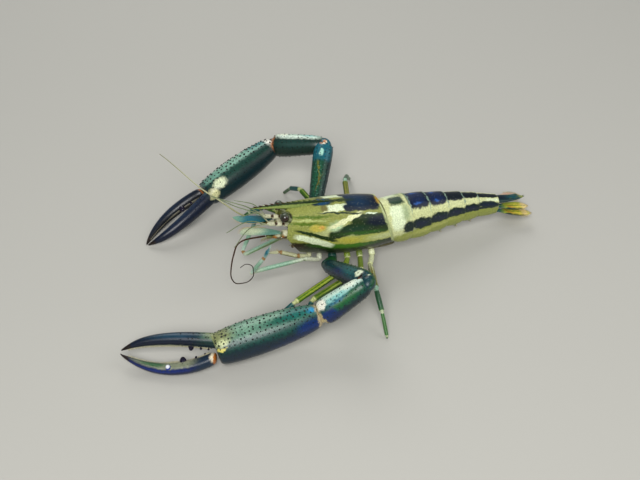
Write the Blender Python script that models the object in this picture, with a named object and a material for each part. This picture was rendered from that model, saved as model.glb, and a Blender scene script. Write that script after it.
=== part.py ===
"""A bigclaw river shrimp, Macrobrachium carcinus, still and at life size.

Every size below is in millimetres; a finished piece is scaled to metres.
The head points to -X, the tail to +X, the animal's left side faces -Y, and it
stands on the plane Z = 0.
"""
import math

import bmesh
import bpy
from mathutils import Matrix, Vector

MM = 0.001
GAP = 0.3                     # clearance between two shells that touch
FLANK_GAP = 0.4               # and between a limb and the slightly twisted flank
LEFT, RIGHT = -1, 1           # the sign of Y on each side of the animal
SIDES = {"L": LEFT, "R": RIGHT}

# The carapace's axis: where it ends at the rear, and how far the head is raised
HIP = Vector((0.0, 0.0, 25.5))
BODY_PITCH = math.radians(11.5)
AHEAD = Vector((-math.cos(BODY_PITCH), 0.0, math.sin(BODY_PITCH)))
UPWARD = Vector((math.sin(BODY_PITCH), 0.0, math.cos(BODY_PITCH)))
ACROSS = Vector((0.0, 1.0, 0.0))

# Carapace sections, as (distance ahead of the hip, size)
CARAPACE_HALF_WIDTH = ((-6, 14.4), (5, 15.6), (18, 17.3), (36, 18.0), (56, 15.8), (80, 12.6))
CARAPACE_TOP = ((-6, 16.2), (5, 17.4), (18, 19.2), (36, 20.4), (58, 20.2), (80, 18.0))
CARAPACE_BOTTOM = ((-6, 14.5), (5, 16.2), (18, 18.6), (36, 20.4), (56, 18.6), (80, 15.0))
CARAPACE_POWER = 2.3
CARAPACE_STATIONS = (-6, 1, 8, 16, 26, 37, 48, 58, 67, 74, 81)
CARAPACE_POINTS = 24
REAR_EDGE = 5.0               # where the rear margin crosses the axis
REAR_TILT = math.radians(26.0)
ORBIT_EDGE = 79.3             # the front margin, upright above the antennal spine
CORNER_HEIGHT = 3.0           # and slanting back below it
CORNER_TILT = math.radians(39.5)
LOWER_EDGE = 15.2             # how far below the axis the side plates end
LOWER_TILT = math.radians(1.8)

# Thorax and face under the carapace, as (distance ahead, size)
THORAX_STATIONS = (-10, 9, 18.5, 27.5, 37.5, 47.5, 55, 62, 67, 76)
THORAX_TOP = ((-10, -9.0), (20, -9.0), (52, -9.0), (60, 4.0), (67, 15.8), (76, 15.8))
THORAX_MIDDLE = ((-10, -12.0), (52, -12.0), (66, 0.0), (76, 0.0))
THORAX_HALF_WIDTH = ((-10, 10.6), (10, 11.2), (46, 11.2), (58, 10.6), (76, 10.4))
THORAX_WAIST_WIDTH = ((-10, 10.6), (10, 11.2), (46, 10.6), (60, 8.0), (76, 6.6))
THORAX_WAIST = ((-10, -13.4), (46, -14.2), (62, -13.4), (76, -12.6))
THORAX_FOOT_WIDTH = ((-10, 6.2), (46, 6.4), (62, 4.4), (76, 3.6))
THORAX_FOOT = ((-10, -14.2), (10, -20.2), (46, -20.6), (62, -18.0), (76, -15.0))
FLANK_CORNERS = {LEFT: (7, 8), RIGHT: (10, 9)}  # waist and foot in a section's ring of points
ARCH_SQUARENESS = 0.78
FACE_EDGE = 73.6              # the face's place at the height of the eyes
FACE_HEIGHT = 14.0
FACE_TILT = math.radians(20.0)

# Rostrum, as (distance ahead, size); it rises as a crest from the carapace
ROSTRUM_STATIONS = (42, 52, 62, 72, 79, 86, 93, 99, 103.4)
ROSTRUM_TOP = ((42, 20.0), (52, 21.4), (62, 21.9), (76, 21.7), (86, 21.4), (95, 20.5), (103.4, 19.6))
ROSTRUM_BOTTOM = ((42, 17.0), (62, 16.4), (79, 16.6), (86, 17.4), (95, 18.2), (103.4, 19.2))
ROSTRUM_HALF_WIDTH = ((42, 0.8), (62, 1.6), (77, 2.3), (86, 1.6), (95, 1.0), (103.4, 0.25))
UPPER_TEETH = 13
UPPER_TEETH_SPAN = (52.0, 98.5)
LOWER_TEETH = 3
LOWER_TEETH_SPAN = (86.0, 96.0)
TOOTH_LENGTH = 3.6
TOOTH_HALF_WIDTH = 0.45

# Abdomen: length of each segment, and how steeply it slopes down to the tail
ABDOMEN_START = Vector((-4.2, 0.0, 26.6))
ABDOMEN_LENGTHS = (14.5, 14, 14, 13, 12, 17)
ABDOMEN_SLOPES = (1.5, 3.5, 5, 7.5, 10.5, 14)
ABDOMEN_HALF_WIDTH = ((0, 14.6), (14.5, 14.0), (28.5, 12.6), (42.5, 10.7), (55.5, 9.1), (67.5, 7.8),
                      (84.5, 6.1))
ABDOMEN_TOP = ((0, 15.8), (14.5, 15.2), (28.5, 13.6), (42.5, 11.6), (55.5, 9.9), (67.5, 8.4), (84.5, 6.4))
ABDOMEN_BOTTOM = ((0, 13.6), (14.5, 13.8), (28.5, 13.4), (42.5, 12.0), (55.5, 10.3), (67.5, 8.2),
                  (84.5, 6.2))
ABDOMEN_POWER = 2.15
ARCH_POINTS = 13
PLATE_STEPS = ((0.0, 0.955), (0.14, 0.985), (0.5, 1.0), (0.86, 1.025), (1.0, 1.02))
PLEURON_ROUNDING = 0.2
# The lower outline of a segment, as shares of its half width and bottom depth
PLEURON_OUTLINE = ((0.985, -0.42), (0.90, -0.80), (0.77, -1.0), (0.62, -0.84), (0.52, -0.60), (0.0, -0.66))

# Swimmerets: each a stalk with two leafy blades, shorter towards the tail
SWIMMERET_LENGTHS = (12.5, 13.0, 12.5, 11.0, 9.0)
SWIMMERET_PLACE = 0.27        # how far aside it grows, as a share of the half width
SWIMMERET_LEAN = 0.55         # how far it trails for each step down
SWIMMERET_SINK = 1.5
STALK_SHARE = 0.28            # how much of the length is stalk
STALK_GIRTH = ((0.0, 1.3, 0.85), (0.6, 1.3, 0.85), (1.0, 0.9, 0.85))
BLADE_SHARE = 0.76
BLADE_SINK = 0.9
BLADE_LEANS = ((-0.13, 0.0), (0.13, 0.16))      # aside and backward lean of the two blades
BLADE_GIRTH = ((0.0, 0.55, 0.45), (0.3, 1.25, 0.36), (0.62, 1.4, 0.3), (0.88, 0.85, 0.27), (1.0, 0.25, 0.2))

# Tail fan
TELSON_LENGTH = 23.0
TELSON_SLOPE = 10.0
TELSON_HALF_WIDTH = ((0, 3.6), (5, 4.2), (14, 3.2), (21, 1.8), (23, 0.7))
TELSON_HALF_HEIGHT = ((0, 1.5), (5, 1.5), (14, 1.0), (23, 0.5))
TELSON_HEIGHT = 3.2
UROPOD_ROOTS = {"inner": (3.0, -0.4), "outer": (4.1, -3.2)}
UROPOD_LENGTHS = {"inner": 24.0, "outer": 26.0}
UROPOD_SPREAD = {"inner": 7.0, "outer": 15.0}
UROPOD_HALF_WIDTH = ((0.0, 1.1), (0.15, 2.0), (0.4, 3.9), (0.7, 4.3), (0.9, 3.0), (1.0, 1.2))
UROPOD_HALF_HEIGHT = ((0.0, 0.8), (0.3, 0.6), (1.0, 0.35))

# Head: eye, stalk and feelers, as (ahead, aside, above) from the hip
EYE_CENTRE = (80.9, 6.3, 15.0)
EYE_RADIUS = 3.15
ORBIT_RADIUS = 5.0
STALK_ROOT = (3.9, 10.1)      # aside and above, on the face
STALK_RADII = (1.3, 1.45, 1.7)
ANTENNULE_ROOT = (3.2, 6.4)
ANTENNULE_LENGTHS = (9.5, 5.0, 5.0)
ANTENNULE_RADII = (1.9, 1.65, 1.5)
ANTENNULE_FLAGELLA = ((34.0, 12.0, 10.0), (30.0, 20.0, 2.0), (22.0, 4.0, 16.0))
ANTENNA_ROOT = (6.7, 1.2)
ANTENNA_BLOCK_END = 81.5
ANTENNA_BLOCK_RADIUS = 2.9
ANTENNA_STALK_END = 91.5
ANTENNA_STALK_RADIUS = 1.9
SCALE_ROOT = (7.6, 4.0)
SCALE_LENGTH = 28.0
SCALE_OUTER = ((0.0, 1.4), (0.2, 1.9), (0.6, 2.2), (0.85, 2.0), (1.0, 0.9))
SCALE_INNER = ((0.0, 1.4), (0.2, 3.6), (0.5, 5.6), (0.8, 5.2), (0.93, 3.2), (1.0, -0.1))
FLAGELLUM_RADIUS = 0.65
FLAGELLUM_TIP = 0.3

# Where each pair of limbs grows, as a distance ahead of the hip
LIMB_ROOTS = {"maxilliped": 58.5, "leg_1": 51.5, "cheliped": 42.8, "leg_3": 32.0, "leg_4": 23.0,
              "leg_5": 14.0}
COXA_LENGTHS = {"maxilliped": 3.0, "leg_1": 4.5, "cheliped": 5.0, "leg_3": 4.5, "leg_4": 4.5, "leg_5": 4.5}
COXA_RADII = {"maxilliped": 1.9, "leg_1": 1.9, "cheliped": 3.2, "leg_3": 2.4, "leg_4": 2.4, "leg_5": 2.3}


def between(keys, place):
    """Read a smooth value at a place from a few (place, value) pairs."""
    places = [key[0] for key in keys]
    values = [key[1] for key in keys]
    if place <= places[0]:
        return values[0]
    if place >= places[-1]:
        return values[-1]
    last = len(keys) - 1
    slopes = [(values[k + 1] - values[k]) / (places[k + 1] - places[k]) for k in range(last)]
    tangents = [slopes[0]]
    for before, after in zip(slopes, slopes[1:]):
        tangents.append(2.0 * before * after / (before + after) if before * after > 0.0 else 0.0)
    tangents.append(slopes[-1])
    spot = max(k for k in range(last) if places[k] <= place)
    width = places[spot + 1] - places[spot]
    t = (place - places[spot]) / width
    return ((2 * t ** 3 - 3 * t ** 2 + 1) * values[spot] + (t ** 3 - 2 * t ** 2 + t) * width * tangents[spot]
            + (3 * t ** 2 - 2 * t ** 3) * values[spot + 1] + (t ** 3 - t ** 2) * width * tangents[spot + 1])


def on_carapace(ahead, aside=0.0, above=0.0):
    """A point given along, beside and above the carapace's axis."""
    return HIP + AHEAD * ahead + ACROSS * aside + UPWARD * above


def heading(bearing, rise, side):
    """A direction: bearing 0 is to the head and 90 straight out to its own side."""
    flat = math.cos(math.radians(rise))
    return Vector((-flat * math.cos(math.radians(bearing)), side * flat * math.sin(math.radians(bearing)),
                   math.sin(math.radians(rise))))


def signed_power(value, power):
    return math.copysign(abs(value) ** power, value)


def oval(centre, across, upward, half_width, top, bottom, power, count):
    """A rounded section whose upper and lower halves may differ in height."""
    ring = []
    for number in range(count):
        angle = 2.0 * math.pi * (number + 0.5) / count
        aside = half_width * signed_power(math.cos(angle), 2.0 / power)
        height = signed_power(math.sin(angle), 2.0 / power)
        height *= top if height > 0.0 else bottom
        ring.append(centre + across * aside + upward * height)
    return ring


def slide(ring, direction, point, normal):
    """Move a ring's points along a direction on to a plane."""
    reach = direction.dot(normal)
    return [spot + direction * ((point - spot).dot(normal) / reach) for spot in ring]


def loft(rings):
    """Bridge rings of points into one closed skin with filled ends."""
    mesh = bmesh.new()
    loops = []
    for number, ring in enumerate(rings):
        ends = number in (0, len(rings) - 1)
        made = bmesh.ops.create_circle(mesh, cap_ends=ends, segments=len(ring), radius=1.0)
        for corner, point in zip(made["verts"], ring):
            corner.co = point
        loops.append(list({edge for corner in made["verts"] for edge in corner.link_edges}))
    for near, far in zip(loops, loops[1:]):
        bmesh.ops.bridge_loops(mesh, edges=near + far)
    bmesh.ops.recalc_face_normals(mesh, faces=mesh.faces)
    return mesh


def trim(mesh, point, normal):
    """Cut away what lies beyond a plane and close the cut."""
    geometry = mesh.verts[:] + mesh.edges[:] + mesh.faces[:]
    bmesh.ops.bisect_plane(mesh, geom=geometry, plane_co=point, plane_no=normal, clear_outer=True)
    rim = [edge for edge in mesh.edges if edge.is_boundary]
    if rim:
        bmesh.ops.edgeloop_fill(mesh, edges=rim)
        bmesh.ops.recalc_face_normals(mesh, faces=mesh.faces)
    return mesh


def spine(root, tip, half_width, half_depth, across, corners=5):
    """A small tooth: a cone from a root inside the shell to its point."""
    direction = tip - root
    length = direction.length
    direction.normalize()
    aside = (across - direction * across.dot(direction)).normalized()
    depth = direction.cross(aside)
    turn = Matrix((aside * half_width, depth * half_depth, direction * length)).transposed().to_4x4()
    turn.translation = root + (tip - root) * 0.5
    mesh = bmesh.new()
    bmesh.ops.create_cone(mesh, cap_ends=True, cap_tris=False, segments=corners, radius1=1.0, radius2=0.12,
                          depth=1.0, matrix=turn)
    bmesh.ops.recalc_face_normals(mesh, faces=mesh.faces)
    return mesh


def ball(centre, radius, rings=8, segments=12):
    mesh = bmesh.new()
    bmesh.ops.create_uvsphere(mesh, u_segments=segments, v_segments=rings, radius=radius,
                              matrix=Matrix.Translation(centre))
    return mesh


def object_from(name, mesh):
    """Turn modelling data into an object of the scene."""
    data = bpy.data.meshes.new(name)
    mesh.to_mesh(data)
    mesh.free()
    made = bpy.data.objects.new(name, data)
    bpy.context.scene.collection.objects.link(made)
    return made


def joined(base, meshes, operation):
    """Fuse meshes to an object, or cut them from it, in one Boolean."""
    group = bpy.data.collections.new("tools")
    bpy.context.scene.collection.children.link(group)
    for mesh in meshes:
        tool = object_from("tool", mesh)
        bpy.context.scene.collection.objects.unlink(tool)
        group.objects.link(tool)
    change = base.modifiers.new("join", "BOOLEAN")
    change.operation = operation
    change.operand_type = "COLLECTION"
    change.collection = group
    change.solver = "EXACT"
    bpy.context.view_layer.update()
    result = bpy.data.meshes.new_from_object(base.evaluated_get(bpy.context.evaluated_depsgraph_get()))
    base.modifiers.clear()
    base.data = result
    for tool in list(group.objects):
        bpy.data.objects.remove(tool)
    bpy.data.collections.remove(group)


def keep_largest(mesh):
    """Keep only the closed surface with the most corners."""
    unseen = set(mesh.verts)
    shells = []
    while unseen:
        shell = {unseen.pop()}
        front = list(shell)
        while front:
            here = front.pop()
            fresh = [edge.other_vert(here) for edge in here.link_edges if edge.other_vert(here) not in shell]
            shell.update(fresh)
            front.extend(fresh)
        unseen -= shell
        shells.append(shell)
    shells.sort(key=len, reverse=True)
    for shell in shells[1:]:
        bmesh.ops.delete(mesh, geom=list(shell), context="VERTS")


def hex_colour(code):
    """Turn a six-digit display colour into linear light."""
    channels = [int(code[k:k + 2], 16) / 255.0 for k in (0, 2, 4)]
    return [c / 12.92 if c <= 0.04045 else ((c + 0.055) / 1.055) ** 2.4 for c in channels] + [1.0]


def finish(name, meshes, colour, roughness=0.35, cutters=(), floor=False):
    """Make one named node: fuse, cut, clean, scale to metres, shade, colour."""
    made = object_from(name, meshes[0])
    if len(meshes) > 1:
        joined(made, meshes[1:], "UNION")
    if cutters:
        joined(made, cutters, "DIFFERENCE")
    mesh = bmesh.new()
    mesh.from_mesh(made.data)
    if floor:
        trim(mesh, Vector((0.0, 0.0, 0.0)), Vector((0.0, 0.0, -1.0)))
    keep_largest(mesh)
    bmesh.ops.transform(mesh, matrix=Matrix.Scale(MM, 4), verts=mesh.verts)
    mesh.to_mesh(made.data)
    mesh.free()
    made.data.shade_smooth()
    made.data.set_sharp_from_angle(angle=math.radians(42.0))
    material = bpy.data.materials.new(name)
    material.use_nodes = True
    shader = material.node_tree.nodes["Principled BSDF"]
    shader.inputs["Base Color"].default_value = hex_colour(colour)
    shader.inputs["Roughness"].default_value = roughness
    shader.inputs["Metallic"].default_value = 0.0
    made.data.materials.clear()
    made.data.materials.append(material)
    made.parent = STAND
    return made


def joint_plane(joints, number):
    """The plane that halves the bend at a joint of a limb."""
    before = (joints[number] - joints[number - 1]).normalized()
    after = (joints[number + 1] - joints[number]).normalized()
    return joints[number], (before + after).normalized()


def shifted(plane, distance):
    return plane[0] + plane[1] * distance, plane[1]


def spread(ring, direction, start_plane, end_plane, share):
    """Place a ring at its share of the way from one end plane to the other."""
    near = slide(ring, direction, *start_plane)
    far = slide(ring, direction, *end_plane)
    return [a.lerp(b, share) for a, b in zip(near, far)]


def tube(joints, first, last, girths, count=8, start_plane=None, end_plane=None, upward=Vector((0, 0, 1))):
    """A limb's piece along its joints, with its own girth in each segment.

    A girth is a list of (share of the segment, half width, half height). The
    piece ends in the plane that halves the bend to its neighbour, or in a
    plane that is given.
    """
    rings = []
    lift = upward
    for number in range(first, last):
        start, end = joints[number], joints[number + 1]
        direction = (end - start).normalized()
        lift = (lift - direction * lift.dot(direction)).normalized()
        aside = direction.cross(lift)
        near, far = (start, direction), (end, direction)
        if number > 0:
            near = shifted(joint_plane(joints, number), 0.0 if number > first else GAP / 2)
        if number == first and start_plane:
            near = start_plane
        if number + 2 < len(joints):
            far = shifted(joint_plane(joints, number + 1), 0.0 if number + 1 < last else -GAP / 2)
        elif end_plane:
            far = end_plane
        for share, half_width, half_height in girths[number - first]:
            if share == 0.0 and number > first:
                continue
            ring = oval(start, aside, lift, half_width, half_height, half_height, 2.0, count)
            rings.append(spread(ring, direction, near, far, share))
    return loft(rings)


def walk(start, steps, side):
    """The joints of a limb from its steps of (length, bearing, rise)."""
    joints = [start]
    for length, bearing, rise in steps:
        joints.append(joints[-1] + heading(bearing, rise, side) * length)
    return joints


def smooth_route(points, spacing):
    """Even steps along a smooth curve through a few points."""
    lengths = [0.0]
    for near, far in zip(points, points[1:]):
        lengths.append(lengths[-1] + (far - near).length)
    axes = [[(length, point[axis]) for length, point in zip(lengths, points)] for axis in range(3)]
    steps = max(2, round(lengths[-1] / spacing))
    return [Vector([between(axis, lengths[-1] * k / steps) for axis in axes]) for k in range(steps + 1)]


def thorax_ring(ahead, extra=0.0):
    """The trunk's section: an arch above, and flanks that slant in to the sternum."""
    half_width = between(THORAX_HALF_WIDTH, ahead) + extra
    middle = between(THORAX_MIDDLE, ahead)
    top = between(THORAX_TOP, ahead) + extra
    waist_width = between(THORAX_WAIST_WIDTH, ahead) + extra
    waist = between(THORAX_WAIST, ahead)
    foot_width = between(THORAX_FOOT_WIDTH, ahead) + extra
    foot = between(THORAX_FOOT, ahead)
    ring = []
    for number in range(7):
        angle = math.pi * number / 6
        aside = half_width * signed_power(math.cos(angle), ARCH_SQUARENESS)
        ring.append(on_carapace(ahead, aside, middle + (top - middle) * math.sin(angle) ** ARCH_SQUARENESS))
    if extra:
        foot = foot - 12.0
        foot_width = waist_width
    ring += [on_carapace(ahead, -waist_width, waist), on_carapace(ahead, -foot_width, foot),
             on_carapace(ahead, foot_width, foot), on_carapace(ahead, waist_width, waist)]
    return ring


def flank(ahead, side):
    """The middle of the slanted flank, and the way that it faces."""
    behind = max(station for station in THORAX_STATIONS if station <= ahead)
    before = min(station for station in THORAX_STATIONS if station > ahead)
    rear, front = thorax_ring(behind), thorax_ring(before)
    waist, foot = FLANK_CORNERS[side]
    rear_middle, front_middle = (rear[waist] + rear[foot]) / 2, (front[waist] + front[foot]) / 2
    middle = rear_middle.lerp(front_middle, (ahead - behind) / (before - behind))
    slant = rear[waist] - rear[foot] + front[waist] - front[foot]
    outward = slant.cross(front_middle - rear_middle).normalized()
    return middle, outward if outward.y * side > 0.0 else -outward


def rear_plane(offset):
    normal = -AHEAD * math.cos(REAR_TILT) + UPWARD * math.sin(REAR_TILT)
    return on_carapace(REAR_EDGE) + normal * offset, normal


def face_plane(offset):
    normal = AHEAD * math.cos(FACE_TILT) - UPWARD * math.sin(FACE_TILT)
    return on_carapace(FACE_EDGE, 0.0, FACE_HEIGHT) + normal * offset, normal


def on_face(aside, above):
    """A point of the face at a given height."""
    return on_carapace(FACE_EDGE - (FACE_HEIGHT - above) * math.tan(FACE_TILT), aside, above)


def build_carapace():
    rings = []
    for ahead in CARAPACE_STATIONS:
        rings.append(oval(on_carapace(ahead), ACROSS, UPWARD, between(CARAPACE_HALF_WIDTH, ahead),
                          between(CARAPACE_TOP, ahead), between(CARAPACE_BOTTOM, ahead),
                          CARAPACE_POWER, CARAPACE_POINTS))
    shell = loft(rings)
    trim(shell, *rear_plane(0.0))
    trim(shell, on_carapace(ORBIT_EDGE), AHEAD)
    trim(shell, on_carapace(ORBIT_EDGE, 0.0, CORNER_HEIGHT),
         AHEAD * math.cos(CORNER_TILT) - UPWARD * math.sin(CORNER_TILT))
    trim(shell, on_carapace(36.0, 0.0, -LOWER_EDGE),
         AHEAD * math.sin(LOWER_TILT) - UPWARD * math.cos(LOWER_TILT))
    pieces = [shell, build_rostrum()] + rostral_teeth() + head_spines()
    hollow = loft([thorax_ring(ahead, GAP + 0.05) for ahead in THORAX_STATIONS[:-1] + (90,)])
    orbits = [ball(on_carapace(EYE_CENTRE[0], side * EYE_CENTRE[1], EYE_CENTRE[2]), ORBIT_RADIUS)
              for side in (LEFT, RIGHT)]
    finish("carapace", pieces, "4F6B2E", 0.3, cutters=[hollow] + orbits)


def build_rostrum():
    rings = []
    for ahead in ROSTRUM_STATIONS:
        top, bottom = between(ROSTRUM_TOP, ahead), between(ROSTRUM_BOTTOM, ahead)
        half_width = between(ROSTRUM_HALF_WIDTH, ahead)
        keel = bottom + (top - bottom) * 0.38
        shoulder = bottom + (top - bottom) * 0.62
        outline = ((0.0, top), (0.4, shoulder), (1.0, keel), (0.3, bottom), (-0.3, bottom), (-1.0, keel),
                   (-0.4, shoulder))
        rings.append([on_carapace(ahead, share * half_width, height) for share, height in outline])
    return loft(rings)


def even_places(span, count):
    """Places at even steps from one end of a span to the other."""
    return [span[0] + (span[1] - span[0]) * number / (count - 1) for number in range(count)]


def rostral_teeth():
    teeth = []
    for number, ahead in enumerate(even_places(UPPER_TEETH_SPAN, UPPER_TEETH)):
        size = 1.0 - 0.35 * abs(number / (UPPER_TEETH - 1) - 0.45)
        root = on_carapace(ahead - 0.8, 0.0, between(ROSTRUM_TOP, ahead) - 1.0)
        tip = on_carapace(ahead + TOOTH_LENGTH * size * 0.8, 0.0, between(ROSTRUM_TOP, ahead) + 1.35 * size)
        teeth.append(spine(root, tip, TOOTH_HALF_WIDTH, 0.95, ACROSS))
    for ahead in even_places(LOWER_TEETH_SPAN, LOWER_TEETH):
        root = on_carapace(ahead - 0.6, 0.0, between(ROSTRUM_BOTTOM, ahead) + 0.8)
        tip = on_carapace(ahead + TOOTH_LENGTH * 0.7, 0.0, between(ROSTRUM_BOTTOM, ahead) - 1.2)
        teeth.append(spine(root, tip, TOOTH_HALF_WIDTH, 0.8, ACROSS))
    return teeth


def head_spines():
    """The antennal spine on the front margin and the hepatic spine behind it."""
    spines = []
    for side in (LEFT, RIGHT):
        for ahead, above, length in ((78.2, 4.2, 4.2), (66.0, -2.5, 3.6)):
            reach = between(CARAPACE_HALF_WIDTH, ahead) * (1.0 - (abs(above) / 16.0) ** 2.3) ** (1 / 2.3)
            root = on_carapace(ahead - 1.5, side * (reach - 0.9), above)
            tip = on_carapace(ahead + length - 1.0, side * (reach + 0.75), above + 0.2)
            spines.append(spine(root, tip, 0.9, 0.8, ACROSS))
    return spines


def build_thorax():
    trunk = loft([thorax_ring(ahead) for ahead in THORAX_STATIONS])
    trim(trunk, *rear_plane(0.0))
    trim(trunk, *face_plane(0.0))
    finish("thorax", [trunk], "6B6A4A", 0.5)


def abdomen_joints():
    joints = [ABDOMEN_START]
    for length, slope in zip(ABDOMEN_LENGTHS, ABDOMEN_SLOPES):
        joints.append(joints[-1] + heading(180.0, -slope, LEFT) * length)
    tail = joints[-1] + heading(180.0, -TELSON_SLOPE, LEFT) * TELSON_LENGTH
    return joints, tail


def somite_ring(centre, upward, along, scale, lobe):
    """An arched back plate whose sides hang down as two lobes."""
    half_width = between(ABDOMEN_HALF_WIDTH, along) * scale
    top = between(ABDOMEN_TOP, along) * scale
    bottom = between(ABDOMEN_BOTTOM, along) * scale
    ring = []
    for number in range(ARCH_POINTS):
        angle = math.pi * number / (ARCH_POINTS - 1)
        aside = half_width * signed_power(math.cos(angle), 2.0 / ABDOMEN_POWER)
        ring.append(centre + ACROSS * aside + upward * top * math.sin(angle) ** (2.0 / ABDOMEN_POWER))
    left = [(-share, depth * (lobe if share > 0.55 else 1.0)) for share, depth in PLEURON_OUTLINE]
    right = [(-share, depth) for share, depth in reversed(left[:-1])]
    ring += [centre + ACROSS * half_width * share + upward * bottom * depth for share, depth in left + right]
    return ring


def swimmerets(number, centre, direction, upward, along):
    """A pair of leafy legs that hang under a segment and trail backward."""
    below = between(ABDOMEN_BOTTOM, along) * -PLEURON_OUTLINE[-1][1]
    down = (direction * SWIMMERET_LEAN - upward).normalized()
    length = SWIMMERET_LENGTHS[number]
    meshes = []
    for side in (LEFT, RIGHT):
        aside = side * SWIMMERET_PLACE * between(ABDOMEN_HALF_WIDTH, along)
        root = centre + ACROSS * aside - upward * (below - SWIMMERET_SINK)
        wrist = root + down * (SWIMMERET_SINK + length * STALK_SHARE)
        meshes.append(loft([oval(root.lerp(wrist, share), ACROSS, down.cross(ACROSS),
                                 half_width, half_depth, half_depth, 2.0, 6)
                            for share, half_width, half_depth in STALK_GIRTH]))
        for lean, trail in BLADE_LEANS:
            toward = (down + ACROSS * side * lean + direction * trail).normalized()
            start = wrist - toward * BLADE_SINK
            across = (ACROSS - toward * toward.dot(ACROSS)).normalized()
            meshes.append(loft([oval(start + toward * share * length * BLADE_SHARE, across,
                                     toward.cross(across), half_width, half_depth, half_depth, 2.0, 6)
                                for share, half_width, half_depth in BLADE_GIRTH]))
    return meshes


def build_abdomen():
    joints, tail = abdomen_joints()
    line = joints + [tail]
    travelled = 0.0
    for number, length in enumerate(ABDOMEN_LENGTHS):
        start, end = joints[number], joints[number + 1]
        direction = (end - start).normalized()
        upward = direction.cross(ACROSS)
        rings = []
        near = rear_plane(GAP) if number == 0 else shifted(joint_plane(line, number), GAP / 2)
        far = shifted(joint_plane(line, number + 1), -GAP / 2)
        for share, scale in PLATE_STEPS:
            lobe = 1.0 - PLEURON_ROUNDING * abs(2.0 * share - 1.0) ** 2
            ring = somite_ring(start, upward, travelled + length * share, scale, lobe)
            rings.append(spread(ring, direction, near, far, share))
        pieces = [loft(rings)]
        if number < len(SWIMMERET_LENGTHS):
            pieces += swimmerets(number, start.lerp(end, 0.5), direction, upward, travelled + length / 2.0)
        travelled += length
        finish("abdomen_%d" % (number + 1), pieces, "1D2B3A", 0.3)


def tail_place(aside, above, offset=0.0):
    """A point on the last segment's rear face, and that face's normal."""
    joints, tail = abdomen_joints()
    line = joints + [tail]
    normal = joint_plane(line, len(joints) - 1)[1]
    upward = normal.cross(ACROSS)
    return joints[-1] + normal * offset + ACROSS * aside + upward * above, normal, upward


def build_tail():
    root, face, upward = tail_place(0.0, TELSON_HEIGHT, GAP / 2)
    direction = heading(180.0, -TELSON_SLOPE, LEFT)
    lift = direction.cross(ACROSS)
    rings = []
    for distance, half_width in TELSON_HALF_WIDTH:
        height = between(TELSON_HALF_HEIGHT, distance)
        ring = oval(root + direction * distance, ACROSS, lift, half_width, height, height, 2.4, 10)
        rings.append(slide(ring, direction, root, face) if distance == 0 else ring)
    finish("telson", [loft(rings)], "12302F", 0.3)
    for name, side in SIDES.items():
        for blade, (aside, above) in UROPOD_ROOTS.items():
            root, face, upward = tail_place(side * aside, above, GAP / 2)
            direction = heading(180.0 - UROPOD_SPREAD[blade], -TELSON_SLOPE, side)
            lift = (upward - direction * upward.dot(direction)).normalized()
            across = direction.cross(lift)
            rings = []
            for share, half_width in UROPOD_HALF_WIDTH:
                height = between(UROPOD_HALF_HEIGHT, share)
                centre = root + direction * share * UROPOD_LENGTHS[blade]
                ring = oval(centre, across, lift, half_width, height, height, 2.6, 8)
                rings.append(slide(ring, direction, root, face) if share == 0.0 else ring)
            finish("uropod_%s_%s" % (blade, name), [loft(rings)], "9DA63C", 0.35)


def build_eyes():
    for name, side in SIDES.items():
        centre = on_carapace(EYE_CENTRE[0], side * EYE_CENTRE[1], EYE_CENTRE[2])
        root = on_face(side * STALK_ROOT[0], STALK_ROOT[1])
        direction = (centre - root).normalized()
        back = centre - direction * EYE_RADIUS * 0.72
        eye = ball(centre, EYE_RADIUS, 10, 14)
        trim(eye, back + direction * GAP / 2, -direction)
        finish("eye_" + name, [eye], "15181A", 0.1)
        girth = [(share, radius, radius) for share, radius in zip((0.0, 0.55, 1.0), STALK_RADII)]
        stalk = tube([root, back - direction * GAP / 2], 0, 1, [girth], start_plane=face_plane(GAP))
        finish("eyestalk_" + name, [stalk], "7C8A5C", 0.4)


def whip(route, radius, tip_radius, count=6, start_plane=None):
    """A feeler that thins evenly along its route to a blunt tip."""
    last = len(route) - 1
    girths = []
    for number in range(last):
        near = radius + (tip_radius - radius) * number / last
        far = radius + (tip_radius - radius) * (number + 1) / last
        girths.append(((0.0, near, near), (1.0, far, far)))
    return tube(route, 0, last, girths, count, start_plane=start_plane)


def build_antennules():
    for name, side in SIDES.items():
        start = on_face(side * ANTENNULE_ROOT[0], ANTENNULE_ROOT[1])
        forward = (AHEAD + ACROSS * side * 0.04 + UPWARD * 0.13).normalized()
        joints = [start]
        for length in ANTENNULE_LENGTHS:
            joints.append(joints[-1] + forward * length)
        girths = []
        for radius in ANTENNULE_RADII:
            girths.append(((0.0, radius * 0.8, radius * 0.8), (0.2, radius, radius * 0.95),
                           (0.85, radius, radius * 0.95), (1.0, radius * 0.8, radius * 0.8)))
        pieces = [tube(joints, 0, 3, girths, start_plane=face_plane(GAP))]
        for number, (length, aside, above) in enumerate(ANTENNULE_FLAGELLA):
            base = joints[-1] - forward * 1.5 + ACROSS * side * (0.7 - 0.7 * number)
            base = base + UPWARD * (0.35 * number - 0.3)
            middle = base + forward * length * 0.5 + ACROSS * side * aside * 0.25 + UPWARD * above * 0.55
            tip = base + forward * length + ACROSS * side * aside + UPWARD * (above * 0.7 - 3.0)
            pieces.append(whip(smooth_route([base, middle, tip], 5.0), 0.5, 0.3))
        finish("antennule_" + name, pieces, "C9C49A", 0.4)


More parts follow.
